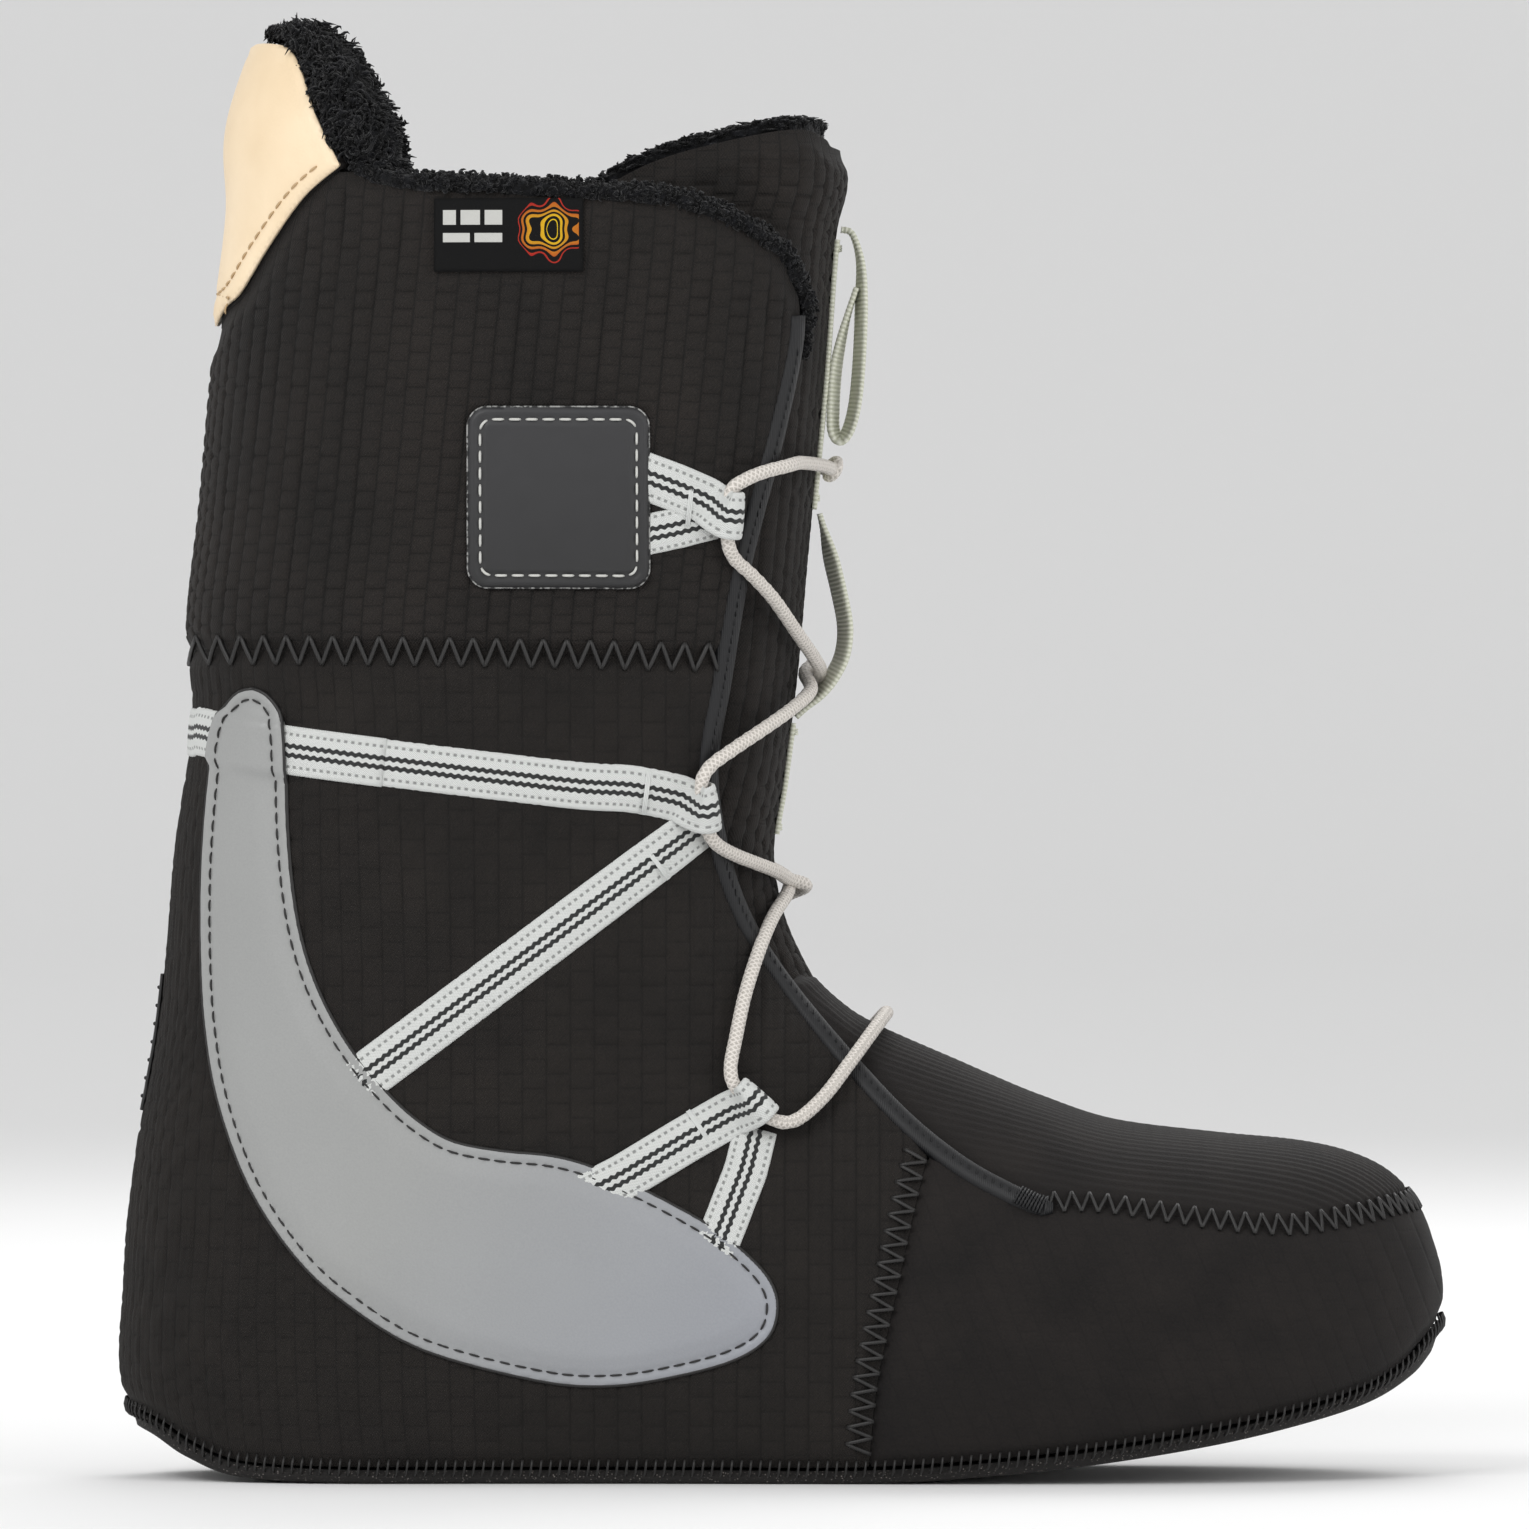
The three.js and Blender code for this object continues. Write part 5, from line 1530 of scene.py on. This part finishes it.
label = Bag()
rows, columns = 22, 44
spots, marks = [], []
for layer in (0.95, 0.15):
    for i in range(rows):
        for j in range(columns):
            u, v = -16.2 + 32.4 * j / (columns - 1), -8 + 16 * i / (rows - 1)
            place, face = side_place(-60 + u, 272.4 + v, -1)
            lip = 0.2 if i in (0, rows - 1) or j in (0, columns - 1) else 0.0
            spots.append(place + face * (layer - (lip if layer > 0.5 else 0)))
            marks.append((u, v))
size = rows * columns
ids = np.arange(size).reshape(rows, columns)
quads = [(ids[i, j], ids[i, j + 1], ids[i + 1, j + 1], ids[i + 1, j])
         for i in range(rows - 1) for j in range(columns - 1)]
ring = (list(ids[0]) + list(ids[1:, -1]) + list(ids[-1, -2::-1]) + list(ids[-2:0:-1, 0]))
label.put(spots, [tuple(int(k) for k in quad) for quad in quads]
          + [tuple(int(k) + size for k in quad[::-1]) for quad in quads]
          + [(int(a), int(a) + size, int(b) + size, int(b))
             for a, b in zip(ring, ring[1:] + ring[:1])], marks)
piece = label.piece("woven_label_visual", label_stuff)
faces_out(piece)
stands_for(piece, "woven_label")


# ---- Lace: one round braided polyester cord, threaded through all six tunnels. ----
# Its ends meet in a knot over the top bar; the knot moves with the tongue.

LACE = np.array([
    [10, -3.3, 222.5], [9.4, -9, 222.8], [7, -18.6, 223.2], [4.6, -26.4, 223.3],
    [3, -33, 223.2], [0.6, -39.4, 222.4], [-4.4, -44.6, 221], [-8.6, -47.4, 219.2],
    [-11.6, -48.5, 216.8], [-12, -48, 211.5], [-12.4, -47.5, 206.2], [-11, -44.8, 202.2],
    [-7, -39.8, 198.4], [-2.4, -33, 193.4], [2.4, -23, 186.6], [6.6, -11, 180.6],
    [7.9, 0, 177.5], [5.8, 11, 173.6], [1.8, 21, 169.6], [-4, 30, 165.4],
    [-11.4, 37.4, 160.4], [-16.4, 40.6, 156.6], [-18.2, 41, 152.7], [-17.4, 39.6, 147.6],
    [-16.6, 38.2, 142.5], [-14.6, 35.4, 139.6], [-10.8, 30, 137.4], [-6.4, 23, 135.6],
    [-2, 14, 133.8], [0.8, 5, 132], [1.1, 0, 130.4], [0.2, -8, 128], [-2.6, -17, 123.6],
    [-5.6, -26, 116.4], [-8.6, -32.4, 107], [-10.6, -36.2, 97.8], [-11.8, -38.6, 91],
    [-10.8, -39, 87], [-6.8, -38.9, 83.4], [-2.8, -38.8, 79.8], [2.2, -37.4, 79.4],
    [8.4, -33.4, 84.4], [14.4, -26.6, 92], [19.4, -18, 98.6], [22, -8, 101.8],
    [22.6, 0, 102.4]], float)

lace_stuff, shader, start = finish("lace_braid", 0.7, sheen=0.15)
across, along = weave_lines(start)
left = ((along * 0.9 + across * 0.62) * (2 * math.pi)).sin()
right = ((along * 0.9 - across * 0.62) * (2 * math.pi)).sin()
braid = left.maths("MAXIMUM", right)
feed(shader, "Base Color", braid.between(-0.2, 0.9).mix((*srgb(188, 182, 174), 1),
                                                        (*srgb(222, 216, 209), 1)))
bumped(shader, braid, 0.5, 0.0003)

CORD = 1.45


def braided(points, start, end, sides=16, gap=0.5):
    """A length of cord between two of its points, with the plaited strands as shallow ridges."""
    path = eased(points, np.linspace(start, end, (end - start) * 12 + 1))
    path = even_run(path, gap)
    shape, faces, weave = swept(path, CORD, sides)
    rows = len(path)
    shape = shape.reshape(rows, sides, 3)
    turn = 2 * math.pi * np.arange(sides) / sides
    length = np.arange(rows) * gap
    wave_a = np.sin(4 * turn[None] + length[:, None] * 2.0)
    wave_b = np.sin(4 * turn[None] - length[:, None] * 2.0)
    ridge = 0.1 * np.maximum(wave_a, wave_b)
    shape = path[:, None] + (shape - path[:, None]) * (1 + ridge[..., None] / CORD)
    return shape.reshape(-1, 3), faces, weave


# Under the first strand where they cross: the mirrored half lies closer to the tongue.
second = LACE * [1, -1, 1]
second[16, 0], second[30, 0] = 4.55, 4.75

for name, side, lengths in (("outer", -1, ((LACE, 0, 16), (LACE, 30, 38), (second, 16, 30))),
                            ("inner", 1, ((second, 0, 16), (second, 30, 38), (LACE, 16, 30))),
                            ("foot", 0, ((LACE, 38, 45), (second, 38, 45)))):
    cord = Bag()
    for route, start, end in lengths:
        cord.put(*braided(route, start, end))
    piece = cord.piece(f"lace_{name}_visual", lace_stuff)
    if side:
        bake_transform(piece)
    else:
        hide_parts("lace")
        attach(piece, "root")

knot = Bag()
for turn_at, tilt, size in ((0.0, 0.5, 2.2), (1.9, -0.4, 2.1), (3.8, 0.9, 1.9)):
    loop = []
    for k in range(25):
        angle = 2 * math.pi * k / 24 + turn_at
        loop.append([10.7 + 1.15 * math.cos(angle + 0.6), 2.1 * math.sin(angle) * math.cos(tilt),
                     222.5 + size * math.cos(angle) * 0.8 + math.sin(tilt) * math.sin(angle)])
    knot.put(*swept(loop, 1.15, 10))
for sign in (-1, 1):
    knot.put(*swept([[10.4, sign * 1.0, 222.4], [10.2, sign * 2.6, 222.6],
                     [9.9, sign * 4.4, 222.7]], 1.55, 12))
piece = knot.piece("lace_knot_visual", lace_stuff)
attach(piece, "tongue_body")
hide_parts("lace_knot")


# ---- Pull tape: flat ribbed twill, sewn down the front of the tongue in two places. ----
# It stands off in a bow behind the crossed lace, and ends above in a hanging pull loop.

tape_stuff, shader, start = finish("ribbed_tape", 0.75, sheen=0.1)
across, along = weave_lines(start)
cords = (along * (2 * math.pi / 0.95)).sin()
feed(shader, "Base Color", cords.between(-0.6, 0.6).mix((*srgb(190, 192, 172), 1),
                                                        (*srgb(220, 221, 206), 1)))
bumped(shader, cords, 0.25, 0.0003)

TAPE = [(-1, -0.5), (-1.03, 0.0), (-1, 0.5), (-0.6, 0.62), (0, 0.62), (0.6, 0.62), (1, 0.5),
        (1.03, 0.0), (1, -0.5), (0.6, -0.62), (0, -0.62), (-0.6, -0.62)]
TAPE_HALF = 4.4


def tape_run(bag, line, half=TAPE_HALF, step=0.32, twist=0.0):
    """Tape that follows a side-view line, flat across the middle or turned a little on itself."""
    line = even_run(line, step)
    way = np.gradient(line, axis=0)
    way /= np.linalg.norm(way, axis=1)[:, None]
    points = np.column_stack([line[:, 0], np.zeros(len(line)), line[:, 1]])
    faces = np.column_stack([way[:, 1], np.zeros(len(line)), -way[:, 0]])
    turn = twist * step_up(np.sin(np.linspace(0, math.pi, len(line))), 0.0, 0.7)[:, None]
    faces = faces * np.cos(turn) + np.array([[0, -1.0, 0]]) * np.sin(turn)
    cords = 0.1 * np.cos(2 * math.pi * np.arange(len(line)) * step / 0.95)
    shape = np.array(TAPE, float)
    rings, grid, weave = ribbon_sweep(points, faces, half, TAPE)
    rings = rings.reshape(len(line), len(TAPE), 3)
    heights = shape[None, :, 1] * (1 + cords[:, None])
    rings += faces[:, None] * (heights - shape[None, :, 1])[..., None]
    bag.put(rings.reshape(-1, 3), grid, weave)


def tongue_line(low, high, out):
    rows = eased(TONGUE, np.linspace(0, 9, 240))
    keep = (rows[:, 1] > low) & (rows[:, 1] < high)
    return rows[keep][:, :2] + [out, 0]


SEWN_OUT = 0.95
for name, low, high in (("upper", 213, 273.4), ("lower", 141.6, 167)):
    tape = Bag()
    line = tongue_line(low, high, SEWN_OUT)
    tape_run(tape, line)
    for end in (1, -2):
        x, z = line[end]
        for k in range(3):
            row = z + (k - 1) * 0.5 + (-1 if end == 1 else 1)
            tape.put(*swept([[x + 0.5, -4.0, row], [x + 1.0, 0, row], [x + 0.5, 4.0, row]],
                            0.24, 5))
    piece = tape.piece(f"tape_strip_{name}_visual", tape_stuff)
    faces_out(piece)
    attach(piece, "tongue_body")
    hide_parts(f"tape_strip_{name}")

ARC = spline([(7.8, 212.6), (9.6, 205.5), (12, 195.6), (13.4, 187.9), (12.9, 181.9), (11, 177.5),
              (7.8, 172.9), (4.6, 169.6), (2.6, 167.6)])
tape = Bag()
tape_run(tape, ARC, twist=0.3)
piece = tape.piece("pull_tape_visual", tape_stuff)
faces_out(piece)
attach(piece, "tongue_body")
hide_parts("pull_tape")

PULL = spline([(12.5, 275.4), (15, 274.4), (16.8, 268.2), (17, 259.4), (16.6, 247.7),
               (15.7, 237.6), (14.2, 231.4), (12.3, 229), (10.9, 231), (10.8, 236), (11.3, 244),
               (12.5, 250.6), (14.0, 256.5), (15.9, 262.5)])
tape = Bag()
tape_run(tape, PULL, twist=0.22)
piece = tape.piece("pull_loop_visual", tape_stuff)
faces_out(piece)
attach(piece, "pull_loop_body")
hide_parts("pull_loop")


# ---- Heel backstay: a short moulded strip down the back seam, with cross ribs. ----
# It is sewn through the quarters on both of its long edges.

stay_stuff, shader, start = finish("backstay_rubber", 0.6)
mottle = grain(start, 300.0, 3.0)
feed(shader, "Base Color", mottle.between(0.3, 0.7).mix((*srgb(12, 12, 12), 1),
                                                        (*srgb(24, 24, 25), 1)))
stay = Bag()
line = [(-138.0 - 0.14 * k, 0.0, 111 - k) for k in range(0, 31)]
points, faces = run_on(line, 0.2)
PAD = [(-1, 0), (-1.0, 0.35), (-0.85, 0.7), (-0.4, 0.85), (0.4, 0.85), (0.85, 0.7), (1.0, 0.35),
       (1, 0)]
stay.put(*ribbon_sweep(points, faces, 6, PAD))
for row in range(3, len(points) - 2, 4):
    across = np.array([0, 1.0, 0])
    stay.put(*swept([points[row] - across * 4.2 + faces[row] * 0.8,
                     points[row] + faces[row] * 1.05,
                     points[row] + across * 4.2 + faces[row] * 0.8], 0.4, 6))
piece = stay.piece("heel_backstay_visual", stay_stuff)
faces_out(piece)
stands_for(piece, "heel_backstay")


# ---- Hidden stiffeners and the footbed: inside the foam, and loose on the board. ----
# A thermoformed heel counter, two shaped ankle pads, and a cut foam insole with a knit face.

counter_stuff, shader, start = finish("counter_sheet", 0.55)
mottle = grain(start, 200.0, 3.0)
feed(shader, "Base Color", mottle.between(0.3, 0.7).mix((*srgb(120, 118, 112), 1),
                                                        (*srgb(146, 144, 138), 1)))
pad_stuff, shader, start = finish("ankle_foam", 0.9)
cells = start.make("ShaderNodeTexVoronoi", {"Vector": start, "Scale": 900.0}, out="Distance")
feed(shader, "Base Color", cells.between(0.0, 0.6).mix((*srgb(70, 72, 76), 1),
                                                       (*srgb(100, 102, 106), 1)))
bumped(shader, cells, 0.4, 0.0004)
for node, stuff in (("heel_counter", counter_stuff), ("ankle_pad_outer", pad_stuff),
                    ("ankle_pad_inner", pad_stuff)):
    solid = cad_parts[node]
    solid.data.materials.clear()
    solid.data.materials.append(stuff)

bed_stuff, shader, start = finish("footbed_knit", 0.9, sheen=0.2)
fuzz = grain(start, 1800.0, 4.0)
feed(shader, "Base Color", fuzz.between(0.3, 0.7).mix((*srgb(44, 46, 50), 1),
                                                      (*srgb(72, 74, 80), 1)))
bumped(shader, fuzz, 0.4, 0.0004)
bed_low, bed_high = 4.0, 8.8
places = np.linspace(-132.6, 133.6, 180)
rows = []
for rise, out in ((bed_low, 10.8), (bed_low + 0.8, 10.2), (bed_high - 0.9, 10.2),
                  (bed_high, 11.2)):
    left, right = [], []
    for x in places:
        ends = plan_half(x, 9.0, 0.0)
        pinch = min(1.0, (x + 132.8) / 16, (134.0 - x) / 14) if ends else 0
        centre = (ends[0] + ends[1]) / 2
        half = max((ends[1] - ends[0]) / 2 - out, 1.0) * math.sqrt(max(1 - (1 - pinch) ** 2, 0.002))
        left.append([x, centre - half, float(sole_height(x, rise))])
        right.append([x, centre + half, float(sole_height(x, rise))])
    rows.append(np.array(left + right[::-1]))
count = len(rows[0])
half = count // 2
faces = []
for row in range(len(rows) - 1):
    for k in range(count):
        n = (k + 1) % count
        faces.append((row * count + k, row * count + n, (row + 1) * count + n,
                      (row + 1) * count + k))
top = (len(rows) - 1) * count
for k in range(half - 1):
    faces.append((k, k + 1, count - 2 - k, count - 1 - k))
    faces.append((top + k, top + count - 1 - k, top + count - 2 - k, top + k + 1))
footbed = mesh_piece("footbed_visual", np.concatenate(rows), faces, bed_stuff)
bpy.context.view_layer.update()
faces_out(footbed)
stands_for(footbed, "footbed", body="footbed_body", fill=0.5)
